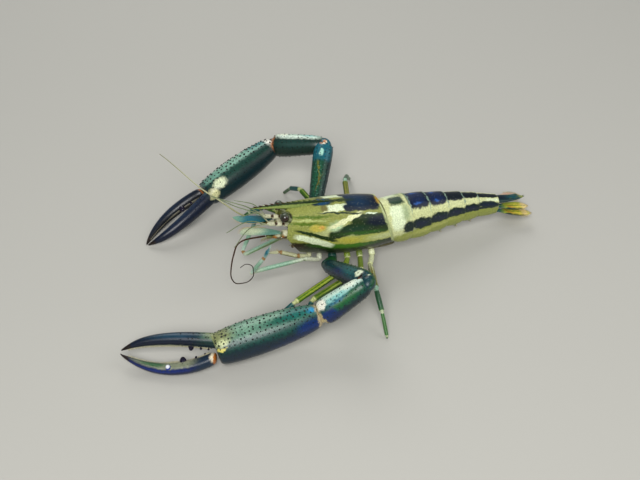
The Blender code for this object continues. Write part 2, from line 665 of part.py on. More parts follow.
def build_antennae():
    for name, side in SIDES.items():
        root = on_face(side * ANTENNA_ROOT[0], ANTENNA_ROOT[1])
        front = on_carapace(ANTENNA_BLOCK_END, side * ANTENNA_ROOT[0], ANTENNA_ROOT[1] + 0.6)
        wide = ANTENNA_BLOCK_RADIUS
        block = tube([root, front], 0, 1, [((0.0, wide * 0.85, wide * 0.85), (0.35, wide, wide),
                                            (0.9, wide, wide), (1.0, wide * 0.9, wide * 0.9))],
                     count=10, start_plane=face_plane(GAP), end_plane=(front, AHEAD))
        thin = ANTENNA_STALK_RADIUS
        start = on_carapace(ANTENNA_BLOCK_END - 3.0, side * (ANTENNA_ROOT[0] - 0.6), -0.2)
        end = on_carapace(ANTENNA_STALK_END, side * (ANTENNA_ROOT[0] + 0.2), 1.6)
        girth = ((0.0, thin, thin), (0.5, thin, thin), (0.62, thin * 0.85, thin * 0.85), (0.7, thin, thin),
                 (1.0, thin * 0.75, thin * 0.75))
        stalk = tube([start, end], 0, 1, [girth])
        finish("antenna_base_" + name, [block, stalk], "8D9468", 0.4)
        build_scale(name, side)


def build_scale(name, side):
    """The flat scale over the feeler's base, stiff outside and leafy inside."""
    rings = []
    for share in (0.0, 0.08, 0.2, 0.4, 0.6, 0.8, 0.92, 1.0):
        ahead = ANTENNA_BLOCK_END + GAP + share * SCALE_LENGTH
        outer, inner = between(SCALE_OUTER, share), between(SCALE_INNER, share)
        height = 0.75 - 0.4 * share
        above = SCALE_ROOT[1] + 2.4 * share
        outline = ((outer, 0.15), (outer * 0.8, 1.0), (0.3, 0.9), (-inner * 0.6, 0.75), (-inner, 0.1),
                   (-inner * 0.6, -0.75), (0.3, -0.9), (outer * 0.8, -1.0))
        rings.append([on_carapace(ahead, side * (SCALE_ROOT[0] + aside), above + height * thickness)
                      for aside, thickness in outline])
    finish("antenna_scale_" + name, [loft(rings)], "2C7C80", 0.3)


def flagellum_route(side):
    """The long feelers as they lie in the water: one curls, one runs out."""
    start = on_carapace(ANTENNA_STALK_END, side * (ANTENNA_ROOT[0] + 0.2), 1.6)
    if side == LEFT:
        steps = ((0, 0, 0), (-9, -0.6, 1.6), (-15.5, -1.6, 2.6), (-19.5, -2.6, 1.2), (-22, -3.6, -4),
                 (-24.5, -4.6, -12), (-26, -5.6, -22), (-23, -6.6, -29), (-16.5, -7.2, -29.5),
                 (-11.5, -7.4, -24), (-11.5, -7.2, -17), (-16, -6.8, -13), (-20, -6.4, -16))
    else:
        steps = ((0, 0, 0), (-8, 6, 2.5), (-17, 22, 2.5), (-27, 46, -0.5), (-35, 73, -4), (-40, 93, -8),
                 (-43, 104, -10.5))
    return [start + Vector(step) for step in steps]


def build_flagella():
    pieces = {"L": 3, "R": 2}
    for name, side in SIDES.items():
        route = smooth_route(flagellum_route(side), 3.6)
        last = len(route) - 1
        ends = [round(last * k / pieces[name]) for k in range(pieces[name] + 1)]
        for number, (first, final) in enumerate(zip(ends, ends[1:])):
            girths = []
            for k in range(first, final):
                near = FLAGELLUM_RADIUS + (FLAGELLUM_TIP - FLAGELLUM_RADIUS) * k / last
                far = FLAGELLUM_RADIUS + (FLAGELLUM_TIP - FLAGELLUM_RADIUS) * (k + 1) / last
                girths.append(((0.0, near, near), (1.0, far, far)))
            begin = (on_carapace(ANTENNA_STALK_END + GAP), AHEAD) if first == 0 else None
            strand = tube(route, first, final, girths, 6, start_plane=begin)
            finish("antenna_flagellum_%s_%d" % (name, number + 1), [strand], "2E2A1C", 0.45)


def limb_start(limb, side):
    root, outward = flank(LIMB_ROOTS[limb], side)
    return root, outward, (root + outward * FLANK_GAP, outward)


def leg_joints(limb, side, steps):
    """A limb's joints: its root, the end of its coxa, then its steps."""
    root, outward, plane = limb_start(limb, side)
    return [root] + walk(root + outward * COXA_LENGTHS[limb], steps, side), plane


def segment(near, wide, far, flatness=1.0):
    """A segment's girth: a narrow neck, a swelling and a narrow end."""
    girths = ((0.0, near), (0.16, wide * 0.94), (0.55, wide), (0.88, wide * 0.9), (1.0, far))
    return [(share, half_width, half_width * flatness) for share, half_width in girths]


def coxa(radius, neck):
    return ((0.0, radius, radius * 0.86), (0.7, radius, radius * 0.86), (1.0, neck, neck * 0.9))


WALKING_STEPS = {
    ("leg_3", "L"): ((10.0, 55, -4), (46.5, 27, 6), (11.5, 10, -32), (12.0, 22, -48), (5.5, 22, -66)),
    ("leg_4", "L"): ((11.0, 72, -6), (46.5, 26, 8), (11.5, 45, -30), (9.0, 30, -48), (5.5, 26, -66)),
    ("leg_5", "L"): ((11.0, 60, 10), (32.5, 74, 17), (15.0, 86, -31), (15.5, 86, -44), (5.5, 86, -60)),
    ("leg_3", "R"): ((10.5, 62, -4), (43.5, 40, 8), (13.0, 30, -30), (13.0, 34, -48), (5.5, 36, -66)),
    ("leg_4", "R"): ((10.0, 50, 3), (41.0, 74, 9), (13.0, 70, -30), (13.5, 74, -50), (5.5, 76, -66)),
    ("leg_5", "R"): ((11.0, 80, 8), (34.0, 104, 16), (14.0, 118, -28), (16.0, 122, -46), (5.5, 124, -60)),
}
WALKING_GIRTH = {"leg_3": 1.0, "leg_4": 1.0, "leg_5": 0.96}


def build_walking_legs():
    floor = (Vector((0.0, 0.0, 0.0)), Vector((0.0, 0.0, -1.0)))
    for (limb, name), steps in WALKING_STEPS.items():
        side = SIDES[name]
        joints, plane = leg_joints(limb, side, steps)
        g = WALKING_GIRTH[limb]
        upper = [coxa(COXA_RADII[limb], 1.5 * g), segment(1.5 * g, 2.0 * g, 1.55 * g),
                 segment(1.55 * g, 2.2 * g, 1.5 * g)]
        lower = [segment(1.3 * g, 1.9 * g, 1.25 * g), segment(1.15 * g, 1.3 * g, 0.95 * g),
                 ((0.0, 0.9 * g, 0.9 * g), (0.35, 1.0 * g, 1.0 * g), (1.0, 0.5, 0.5))]
        finish("%s_%s_upper" % (limb, name), [tube(joints, 0, 3, upper, start_plane=plane)], "5F7A2C", 0.35)
        finish("%s_%s_lower" % (limb, name), [tube(joints, 3, 6, lower, end_plane=floor)], "3C6B58", 0.35)


LEG_1_STEPS = {
    "L": ((13.0, 12, 30), (35.0, -11, -11), (3.0, 60, 30), (17.0, 158, 58), (12.0, 166, 66)),
    "R": ((13.0, 12, 22), (33.0, -2, -14), (3.0, 70, 20), (17.0, 150, 52), (12.0, 158, 60)),
}


def build_leg_1():
    for name, side in SIDES.items():
        joints, plane = leg_joints("leg_1", side, LEG_1_STEPS[name])
        upper = [coxa(COXA_RADII["leg_1"], 1.2), segment(1.2, 1.6, 1.25), segment(1.25, 1.6, 1.15),
                 ((0.0, 1.2, 1.2), (0.5, 1.25, 1.25), (1.0, 1.1, 1.1))]
        lower = [segment(1.05, 1.45, 1.1),
                 ((0.0, 1.2, 1.2), (0.15, 1.6, 1.4), (0.5, 1.6, 1.35), (0.75, 1.2, 1.0), (1.0, 0.4, 0.35))]
        finish("leg_1_%s_upper" % name, [tube(joints, 0, 4, upper, start_plane=plane)], "A9AE8A", 0.4)
        finish("leg_1_%s_lower" % name, [tube(joints, 4, 6, lower)], "C2C9AE", 0.4)


MAXILLIPED_STEPS = ((8.5, 2, 22), (13.0, -8, 27), (8.0, -6, 8))


def build_maxillipeds():
    for name, side in SIDES.items():
        joints, plane = leg_joints("maxilliped", side, MAXILLIPED_STEPS)
        girths = [coxa(COXA_RADII["maxilliped"], 1.3), segment(1.3, 1.9, 1.4, 0.8),
                  segment(1.4, 1.6, 1.1, 0.8), ((0.0, 1.1, 0.9), (0.3, 1.2, 1.0), (1.0, 0.4, 0.4))]
        finish("maxilliped_" + name, [tube(joints, 0, 4, girths, start_plane=plane)], "B9B98E", 0.4)


CHELIPED_STEPS = {
    "L": ((15.5, 50, 31), (47.0, 106, 25), (35.5, -4, -33.5), (67.0, -3.4, -9.05)),
    "R": ((19.0, 98, 26), (52.0, 118, 21), (38.5, 35, -12), (62.0, -18, -14.5)),
}
CLAW_BEND = {"L": (-16.4, 6.3), "R": (-2.0, -3.6)}
FINGER_SCALE = {"L": 1.0, "R": 0.93}
CLAW_ROLL = {"L": 38.0, "R": 10.0}
# Palm and fingers: share or distance, offset to the open side, half width, half thickness
PALM_GIRTH = ((0.0, 6.2, 5.8), (0.07, 8.2, 7.6), (0.3, 10.8, 9.8), (0.62, 12.0, 10.6), (0.88, 11.2, 9.6),
              (1.0, 10.2, 8.8))
FIXED_FINGER = ((-9.0, -4.6, 4.6, 5.4), (2.0, -5.6, 5.0, 5.4), (14.0, -6.8, 4.6, 4.9),
                (28.0, -7.6, 4.2, 4.4), (42.0, -6.8, 3.3, 3.5), (50.0, -5.0, 2.3, 2.5),
                (56.0, -2.4, 1.1, 1.2), (58.5, -1.2, 0.3, 0.3))
DACTYL = ((0.0, 5.0, 3.4, 4.4), (2.5, 5.6, 4.2, 4.9), (9.0, 8.2, 4.3, 4.7), (20.0, 10.6, 4.1, 4.4),
          (32.0, 10.9, 3.7, 3.9), (43.0, 8.6, 3.0, 3.2), (51.0, 5.2, 2.1, 2.3), (56.5, 2.2, 1.0, 1.1),
          (58.8, 0.4, 0.3, 0.3))
FIXED_TEETH = ((15.0, 2.6, 2.2), (9.0, 1.5, 1.3), (4.5, 1.2, 1.1))
DACTYL_TEETH = ((21.0, 2.6, 2.1), (12.0, 1.5, 1.3), (6.5, 1.2, 1.1))


def claw_axes(name, palm_direction):
    """Along, open and thick directions of a claw's fingers."""
    side = SIDES[name]
    roll = math.radians(CLAW_ROLL[name])
    bend, lift = CLAW_BEND[name]
    bearing = CHELIPED_STEPS[name][3][1] + bend
    rise = CHELIPED_STEPS[name][3][2] + lift
    along = heading(bearing, rise, side)
    wide = ACROSS * side * math.cos(roll) - Vector((0.0, 0.0, 1.0)) * math.sin(roll)
    wide = (wide - along * wide.dot(along)).normalized()
    palm_wide = (wide - palm_direction * wide.dot(palm_direction)).normalized()
    return along, wide, palm_wide


def finger(base, along, wide, stations, size, count=12, start_plane=None):
    """A finger of a given relative length, bowed away from its partner."""
    thick = along.cross(wide)
    rings = []
    for distance, offset, half_width, half_thickness in stations:
        centre = base + along * distance * size + wide * offset
        ring = oval(centre, wide, thick, half_width, half_thickness, half_thickness, 2.1, count)
        if start_plane and not rings:
            ring = slide(ring, along, *start_plane)
        rings.append(ring)
    return loft(rings)


def finger_teeth(base, along, wide, stations, size, teeth, inward):
    """Blunt teeth on the cutting edge of a finger."""
    thick = along.cross(wide)
    keys = [(station[0], station[1]) for station in stations]
    widths = [(station[0], station[2]) for station in stations]
    made = []
    for distance, height, half_width in teeth:
        edge = between(keys, distance) + inward * between(widths, distance)
        root = base + along * distance * size + wide * (edge - inward * 1.8)
        tip = base + along * (distance * size + 0.8) + wide * (edge + inward * height)
        made.append(spine(root, tip, half_width, half_width, thick, 6))
    return made


def build_chelipeds():
    for name, side in SIDES.items():
        joints, plane = leg_joints("cheliped", side, CHELIPED_STEPS[name])
        palm_direction = (joints[5] - joints[4]).normalized()
        along, wide, palm_wide = claw_axes(name, palm_direction)
        ischium = [coxa(COXA_RADII["cheliped"], 2.9), segment(2.9, 3.8, 3.5)]
        merus = [((0.0, 3.6, 3.6), (0.1, 4.9, 4.9), (0.4, 6.0, 6.0), (0.75, 7.0, 7.0), (0.93, 6.8, 6.8),
                  (1.0, 4.8, 4.8))]
        carpus = [((0.0, 4.8, 4.8), (0.1, 6.6, 6.6), (0.45, 7.6, 7.6), (0.8, 8.4, 8.4), (0.94, 7.6, 7.6),
                   (1.0, 5.4, 5.4))]
        root = tube(joints, 0, 2, ischium, 10, start_plane=plane)
        finish("cheliped_%s_ischium" % name, [root], "26463A", 0.35)
        finish("cheliped_%s_merus" % name, [tube(joints, 2, 3, merus, 14)], "14303C", 0.35)
        finish("cheliped_%s_carpus" % name, [tube(joints, 3, 4, carpus, 14)], "1F5A5C", 0.35)
        palm = tube(joints, 4, 5, [PALM_GIRTH], 16, upward=palm_direction.cross(palm_wide))
        base = joints[5]
        size = FINGER_SCALE[name]
        fixed = finger(base, along, wide, FIXED_FINGER, size)
        fixed_teeth = finger_teeth(base, along, wide, FIXED_FINGER, size, FIXED_TEETH, 1.0)
        finish("cheliped_%s_palm" % name, [palm, fixed] + fixed_teeth, "1C4644", 0.35, floor=True)
        knuckle = (base + palm_direction * GAP, palm_direction)
        dactyl = finger(base, along, wide, DACTYL, size, start_plane=knuckle)
        dactyl_teeth = finger_teeth(base, along, wide, DACTYL, size, DACTYL_TEETH, -1.0)
        finish("cheliped_%s_dactyl" % name, [dactyl] + dactyl_teeth, "132340", 0.35, floor=True)


for leftover in list(bpy.data.objects):
    bpy.data.objects.remove(leftover)
STAND = bpy.data.objects.new("stand_point", None)
bpy.context.scene.collection.objects.link(STAND)

build_carapace()
build_thorax()
build_abdomen()
build_tail()
build_eyes()
build_antennules()
build_antennae()
build_flagella()
build_maxillipeds()
build_leg_1()
build_chelipeds()
build_walking_legs()

# Stand the middle of the whole animal over the origin
bpy.context.view_layer.update()
corners = [part.matrix_world @ Vector(corner) for part in STAND.children for corner in part.bound_box]
for axis in (0, 1):
    reach = [corner[axis] for corner in corners]
    STAND.location[axis] = -(min(reach) + max(reach)) / 2.0
bpy.context.view_layer.update()
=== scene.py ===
# %% [markdown]
# # A bigclaw river shrimp at life size
# The CAD model already has the animal's pose and true sizes, as plain solids.
# This lesson gives each solid its real surface: shell plates with margins, jointed
# legs with soft skin at the joints, claws with tubercles, and the animal's markings.
# Sizes are in millimetres until a corner is placed, because a shrimp's parts are small.

# %% Load the CAD model
import math
import random
from functools import partial

import bmesh
import bpy
from mathutils import Matrix, Vector

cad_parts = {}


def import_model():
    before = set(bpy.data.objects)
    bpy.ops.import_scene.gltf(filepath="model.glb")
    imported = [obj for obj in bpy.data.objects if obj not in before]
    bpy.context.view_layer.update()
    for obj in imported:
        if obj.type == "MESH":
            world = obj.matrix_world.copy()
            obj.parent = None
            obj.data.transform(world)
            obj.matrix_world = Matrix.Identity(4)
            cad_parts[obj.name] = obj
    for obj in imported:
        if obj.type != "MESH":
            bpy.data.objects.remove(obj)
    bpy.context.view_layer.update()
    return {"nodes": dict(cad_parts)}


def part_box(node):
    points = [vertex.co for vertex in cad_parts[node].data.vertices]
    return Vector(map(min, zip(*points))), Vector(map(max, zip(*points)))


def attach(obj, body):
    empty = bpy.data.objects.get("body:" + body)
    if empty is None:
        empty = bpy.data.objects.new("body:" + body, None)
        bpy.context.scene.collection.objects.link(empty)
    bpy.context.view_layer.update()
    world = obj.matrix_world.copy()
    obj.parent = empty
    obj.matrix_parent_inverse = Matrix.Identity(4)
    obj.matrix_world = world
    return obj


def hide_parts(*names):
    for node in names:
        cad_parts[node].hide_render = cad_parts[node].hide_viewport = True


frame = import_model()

MM = 0.001
print("CAD nodes:", len(frame["nodes"]))

# %% [markdown]
# ## Where things are
# The carapace has its own axis, raised at the head. A place on the body is easiest to
# give along, beside and above that axis. The model was moved to stand over the origin,
# so the shift is measured on the carapace: its lowest X is the tip of the rostrum.

# %% The body's axis and the stand's shift
SIDES = {"L": -1, "R": 1}
HIP = Vector((0.0, 0.0, 25.5))
BODY_PITCH = math.radians(11.5)
AHEAD = Vector((-math.cos(BODY_PITCH), 0.0, math.sin(BODY_PITCH)))
UPWARD = Vector((math.sin(BODY_PITCH), 0.0, math.cos(BODY_PITCH)))
ACROSS = Vector((0.0, 1.0, 0.0))
SKY = Vector((0.0, 0.0, 1.0))


def spot(ahead, aside=0.0, above=0.0):
    """A point along, beside and above the carapace's axis, in millimetres."""
    return HIP + AHEAD * ahead + ACROSS * aside + UPWARD * above


def paired(place, side):
    """The same for one side of the animal, from (ahead, aside, above)."""
    ahead, aside, above = place
    return spot(ahead, side * aside, above)


ROSTRUM_TIP = spot(103.4, 0.0, 19.2)
low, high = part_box("carapace")
STAND = Vector((low.x / MM - ROSTRUM_TIP.x, (low.y + high.y) / 2.0 / MM, 0.0))
print("the stand's shift, mm:", tuple(round(value, 2) for value in STAND))


def world(point):
    """A point of the skeleton, moved to the stand and turned to metres."""
    return (point + STAND) * MM


# %% Smooth values, columns and directions
def between(keys, place):
    """Read a smooth value at a place from a few (place, value) pairs."""
    places = [key[0] for key in keys]
    values = [key[1] for key in keys]
    if place <= places[0]:
        return values[0]
    if place >= places[-1]:
        return values[-1]
    last = len(keys) - 1
    slopes = [(values[k + 1] - values[k]) / (places[k + 1] - places[k]) for k in range(last)]
    tangents = [slopes[0]]
    for before, after in zip(slopes, slopes[1:]):
        tangents.append(2.0 * before * after / (before + after) if before * after > 0.0 else 0.0)
    tangents.append(slopes[-1])
    here = max(k for k in range(last) if places[k] <= place)
    width = places[here + 1] - places[here]
    t = (place - places[here]) / width
    return ((2 * t ** 3 - 3 * t ** 2 + 1) * values[here] + (t ** 3 - 2 * t ** 2 + t) * width * tangents[here]
            + (3 * t ** 2 - 2 * t ** 3) * values[here + 1] + (t ** 3 - t ** 2) * width * tangents[here + 1])


def column(rows, number):
    """The (place, value) pairs of one column of a table."""
    return [(row[0], row[number]) for row in rows]


def heading(bearing, rise, side):
    """A direction: bearing 0 is to the head and 90 straight out to its own side."""
    bearing, rise = math.radians(bearing), math.radians(rise)
    flat = math.cos(rise)
    return Vector((-flat * math.cos(bearing), side * flat * math.sin(bearing), math.sin(rise)))


def square_to(direction, vector):
    """The part of a vector that is square to a direction, at length one."""
    return (vector - direction * vector.dot(direction)).normalized()


# %% [markdown]
# ## How a piece is modelled
# A leg, a claw or a carapace is a tube whose section changes along its length. By hand
# this is a row of circles, each scaled to its section and turned to face along the limb,
# bridged two by two, closed at the ends and rounded by Subdivision Surface. While the
# circles are added, two numbers are kept for each corner: how far along the piece it is,
# and how far it is turned from the top. The markings are painted by those two numbers,
# so a stripe follows the limb wherever the limb goes.

# %% Circles, bridges and rounding
MARKS = []


def begin(name):
    """Open an empty piece in edit mode, with nothing else selected."""
    bpy.ops.object.select_all(action="DESELECT")
    bpy.ops.object.add(type="MESH", location=(0.0, 0.0, 0.0))
    piece = bpy.context.object
    piece.name = name
    piece.data.name = name
    bpy.ops.object.mode_set(mode="EDIT")
    MARKS.clear()
    return piece


def add_circle(centre, turn, half_width, half_height, points):
    """Add a circle in edit mode and squash it along its own second axis."""
    bpy.ops.mesh.primitive_circle_add(vertices=points, radius=half_width, location=centre,
                                      rotation=turn.to_euler())
    squash = half_height / half_width
    if abs(squash - 1.0) > 0.001:
        bpy.ops.transform.resize(value=(1.0, squash, 1.0), orient_type="GLOBAL", orient_matrix=turn,
                                 orient_matrix_type="GLOBAL", center_override=centre)


def add_ring(centre, across, upward, half_width, half_height, points, mark):
    """Add one circle as a section; its first corner is on top."""
    turn = Matrix((across, upward, across.cross(upward))).transposed()
    add_circle(world(centre), turn, half_width * MM, half_height * MM, points)
    for number in range(points):
        angle = 360.0 * number / points
        MARKS.append((mark, angle if angle <= 180.0 else angle - 360.0))


def add_outline(corners):
    """Add a circle and move its corners to a section that isn't round."""
    bpy.ops.mesh.primitive_circle_add(vertices=len(corners), radius=MM)
    mesh = bmesh.from_edit_mesh(bpy.context.object.data)
    mesh.verts.ensure_lookup_table()
    for corner, place in zip(mesh.verts[-len(corners):], corners):
        corner.co = world(place)
    bmesh.update_edit_mesh(bpy.context.object.data)
    MARKS.extend([(0.0, 0.0)] * len(corners))


def pick(piece, start, stop):
    """Select a run of corners by their numbers."""
    bpy.ops.mesh.select_all(action="DESELECT")
    mesh = bmesh.from_edit_mesh(piece.data)
    mesh.verts.ensure_lookup_table()
    for corner in mesh.verts[start:stop]:
        corner.select = True
    mesh.select_flush(True)


def skin(piece, points, first=0):
    """Bridge the rings from a corner's number on, and close both ends."""
    last = len(bmesh.from_edit_mesh(piece.data).verts)
    for start in range(first, last - points, points):
        pick(piece, start, start + 2 * points)
        bpy.ops.mesh.bridge_edge_loops()
    for start in (first, last - points):
        pick(piece, start, start + points)
        bpy.ops.mesh.edge_face_add()


def write_chart(piece, reach, angles):
    """Store how far along and how far round each corner is, for the material."""
    for name, values in (("along", reach), ("turn", angles)):
        if name not in piece.data.attributes:
            piece.data.attributes.new(name, "FLOAT", "POINT")
        piece.data.attributes[name].data.foreach_set("value", values)


def apply_modifier(piece, kind, **settings):
    """Add one modifier with its settings and apply it."""
    bpy.context.view_layer.objects.active = piece
    bpy.ops.object.modifier_add(type=kind)
    modifier = piece.modifiers[-1]
    for name, value in settings.items():
        setattr(modifier, name, value)
    bpy.ops.object.modifier_apply(modifier=modifier.name)


def complete(piece, levels=2):
    """Leave edit mode, keep the marks and round the cage."""
    bpy.ops.mesh.select_all(action="SELECT")
    bpy.ops.mesh.normals_make_consistent(inside=False)
    bpy.ops.object.mode_set(mode="OBJECT")
    write_chart(piece, *zip(*MARKS))
    if levels:
        apply_modifier(piece, "SUBSURF", levels=levels, render_levels=levels)
    bpy.ops.object.shade_smooth()
    return piece


def loft(name, rings, points, levels=2):
    """Model one tube from (centre, across, upward, half width, half height, mark) rings."""
    piece = begin(name)
    for *section, mark in rings:
        add_ring(*section, points, mark)
    skin(piece, points)
    return complete(piece, levels)


def rest_on_floor(piece):
    """Cut a small flat where a piece stands on the ground."""
    bpy.ops.object.select_all(action="DESELECT")
    piece.select_set(True)
    bpy.context.view_layer.objects.active = piece
    bpy.ops.object.mode_set(mode="EDIT")
    bpy.ops.mesh.select_all(action="SELECT")
    bpy.ops.mesh.bisect(plane_co=(0.0, 0.0, 0.0), plane_no=(0.0, 0.0, -1.0), use_fill=True,
                        clear_outer=True, threshold=0.000001)
    bpy.ops.object.mode_set(mode="OBJECT")

# %% Segments, whips and charts
def add_segment(piece, start, end, upward, profile, points, mark):
    """Add one hard segment from joint to joint, and return its upper side."""
    direction = (end - start).normalized()
    lift = square_to(direction, upward)
    first = len(MARKS)
    length = (end - start).length
    for share, half_width, half_height in profile:
        add_ring(start + direction * length * share, direction.cross(lift), lift, half_width, half_height,
                 points, mark + length * share)
    skin(piece, points, first)
    return lift


BALL_GIRTH = ((0.01, 0.25), (0.12, 0.68), (0.5, 1.0), (0.88, 0.68), (0.99, 0.25))


def add_ball(piece, joint, direction, radius, points, mark):
    """Add the soft skin of a hinge as a small ball in the gap."""
    profile = [(share, radius * girth, radius * girth) for share, girth in BALL_GIRTH]
    add_segment(piece, joint - direction * radius, joint + direction * radius, SKY, profile, points,
                mark - radius)


def smooth_route(points, spacing):
    """Even steps along a smooth curve through a few points."""
    lengths = [0.0]
    for near, far in zip(points, points[1:]):
        lengths.append(lengths[-1] + (far - near).length)
    axes = [[(length, point[axis]) for length, point in zip(lengths, points)] for axis in range(3)]
    steps = max(2, round(lengths[-1] / spacing))
    return [Vector([between(axis, lengths[-1] * k / steps) for axis in axes]) for k in range(steps + 1)]


def add_whip(piece, route, radius, tip_radius, points, mark):
    """Add a feeler that thins evenly along its route."""
    first = len(MARKS)
    last = len(route) - 1
    lift = SKY
    travelled = mark
    for k, place in enumerate(route):
        direction = (route[min(k + 1, last)] - route[max(k - 1, 0)]).normalized()
        lift = square_to(direction, lift)
        thickness = radius + (tip_radius - radius) * k / last
        add_ring(place, direction.cross(lift), lift, thickness, thickness, points, travelled)
        if k < last:
            travelled += (route[k + 1] - place).length
    skin(piece, points, first)


def chart(piece, origin, along, upward, positive, flat=False):
    """Measure each corner of a finished mesh along and round a given axis."""
    reach, angles = [], []
    for corner in piece.data.vertices:
        offset = corner.co / MM - STAND - origin
        reach.append(offset.dot(along))
        aside, above = offset.dot(positive), offset.dot(upward)
        angles.append(aside if flat else math.degrees(math.atan2(aside, above)))
    write_chart(piece, reach, angles)

# %% Copies, rows and what each piece stands for
def repeated(name, source, places):
    """Copy one small mesh to many places as a single joined mesh."""
    corners = [corner.co.copy() for corner in source.data.vertices]
    faces = [tuple(face.vertices) for face in source.data.polygons]
    all_corners, all_faces = [], []
    for place in places:
        offset = len(all_corners)
        all_corners += [place @ corner for corner in corners]
        all_faces += [tuple(offset + index for index in face) for face in faces]
    data = bpy.data.meshes.new(name)
    data.from_pydata(all_corners, [], all_faces)
    data.shade_smooth()
    piece = bpy.data.objects.new(name, data)
    bpy.context.scene.collection.objects.link(piece)
    return piece


def put_away(source):
    """Keep a little model for copying, out of the scene."""
    for collection in list(source.users_collection):
        collection.objects.unlink(source)


def little_model(name, rows, points, levels):
    """Model a small round tube up the Z axis from (height, radius) rows, to be copied."""
    model = begin(name)
    for height, radius in rows:
        bpy.ops.mesh.primitive_circle_add(vertices=points, radius=radius, location=(0.0, 0.0, height))
        MARKS.extend([(0.0, 0.0)] * points)
    skin(model, points)
    complete(model, levels)
    put_away(model)
    return model


def framed(place, right, lift, forward):
    """A matrix that lays a little model's X, Y and Z along three directions at a place."""
    matrix = Matrix((right, lift, forward)).transposed().to_4x4() @ Matrix.Scale(MM, 4)
    matrix.translation = place
    return matrix


def aim(place, direction, upward, width, depth, length):
    """A matrix that puts a little model's +Z along a direction at a place."""
    forward = direction.normalized()
    lift = square_to(forward, upward)
    return framed(place, lift.cross(forward) * width, lift * depth, forward * length)


def dress(piece, slot, material, *nodes):
    piece.data.materials.clear()
    piece.data.materials.append(material)
    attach(piece, "root")
    if nodes:
        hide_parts(*nodes)
    return piece


# %% [markdown]
# ## How the shell is finished
# A crustacean's shell is a hard, layered skin. It is smooth and wet, with a clear
# outer layer over coloured patches that have slightly ragged edges. Each patch is an
# ellipse or a rounded rectangle in the two measured numbers, along and turn, moved a
# little by noise. The same markings could be drawn as an image on an unwrapped shell;
# patches stay sharp at any size and go right round the animal.

# %% Colours and nodes
EVERYWHERE = 400.0            # half a turn and more, in degrees
GRAIN_SIZE, GRAIN_MIDDLE = 0.9, (0.3, 0.7)
GLOSS_SPREAD = (0.75, 1.35)   # how far the grain changes the roughness
PORE_DEPTH = 0.15
CLEAR_COAT_ROUGHNESS, SPECULAR = 0.18, 0.36


def hex_colour(code):
    """Turn a six-digit display colour into linear light."""
    channels = [int(code[k:k + 2], 16) / 255.0 for k in (0, 2, 4)]
    return [c / 12.92 if c <= 0.04045 else ((c + 0.055) / 1.055) ** 2.4 for c in channels] + [1.0]


def band(code, along, half_along, softness, *box):
    """A patch that goes right round its piece."""
    return code, along, 0, half_along, EVERYWHERE, 0, softness, *box


def add_node(tree, kind, output, settings=None, links=None):
    """Add a node, set its options and plain inputs, link the others, and give one output."""
    made = tree.nodes.new(kind)
    for key, value in (settings or {}).items():
        if isinstance(key, str) and hasattr(made, key):
            setattr(made, key, value)
        else:
            made.inputs[key].default_value = value
    for key, source in (links or {}).items():
        tree.links.new(source, made.inputs[key])
    return made.outputs[output]


def smooth_fall(tree, value, near, far, most=1.0):
    """Fall smoothly from most to nothing between two values."""
    return add_node(tree, "ShaderNodeMapRange", "Result",
                    {"interpolation_type": "SMOOTHSTEP", "From Min": near, "From Max": far,
                     "To Min": most, "To Max": 0.0}, {"Value": value})


def grain_range(tree, grain, least, most):
    """Spread the grain's middle part between two values."""
    return add_node(tree, "ShaderNodeMapRange", "Result",
                    {"From Min": GRAIN_MIDDLE[0], "From Max": GRAIN_MIDDLE[1], "To Min": least,
                     "To Max": most}, {"Value": grain})


def painted(tree, under, code, mask):
    """Lay one colour over what is there, where the mask says so."""
    return add_node(tree, "ShaderNodeMix", 2, {"data_type": "RGBA", 7: hex_colour(code)}, {0: mask, 6: under})


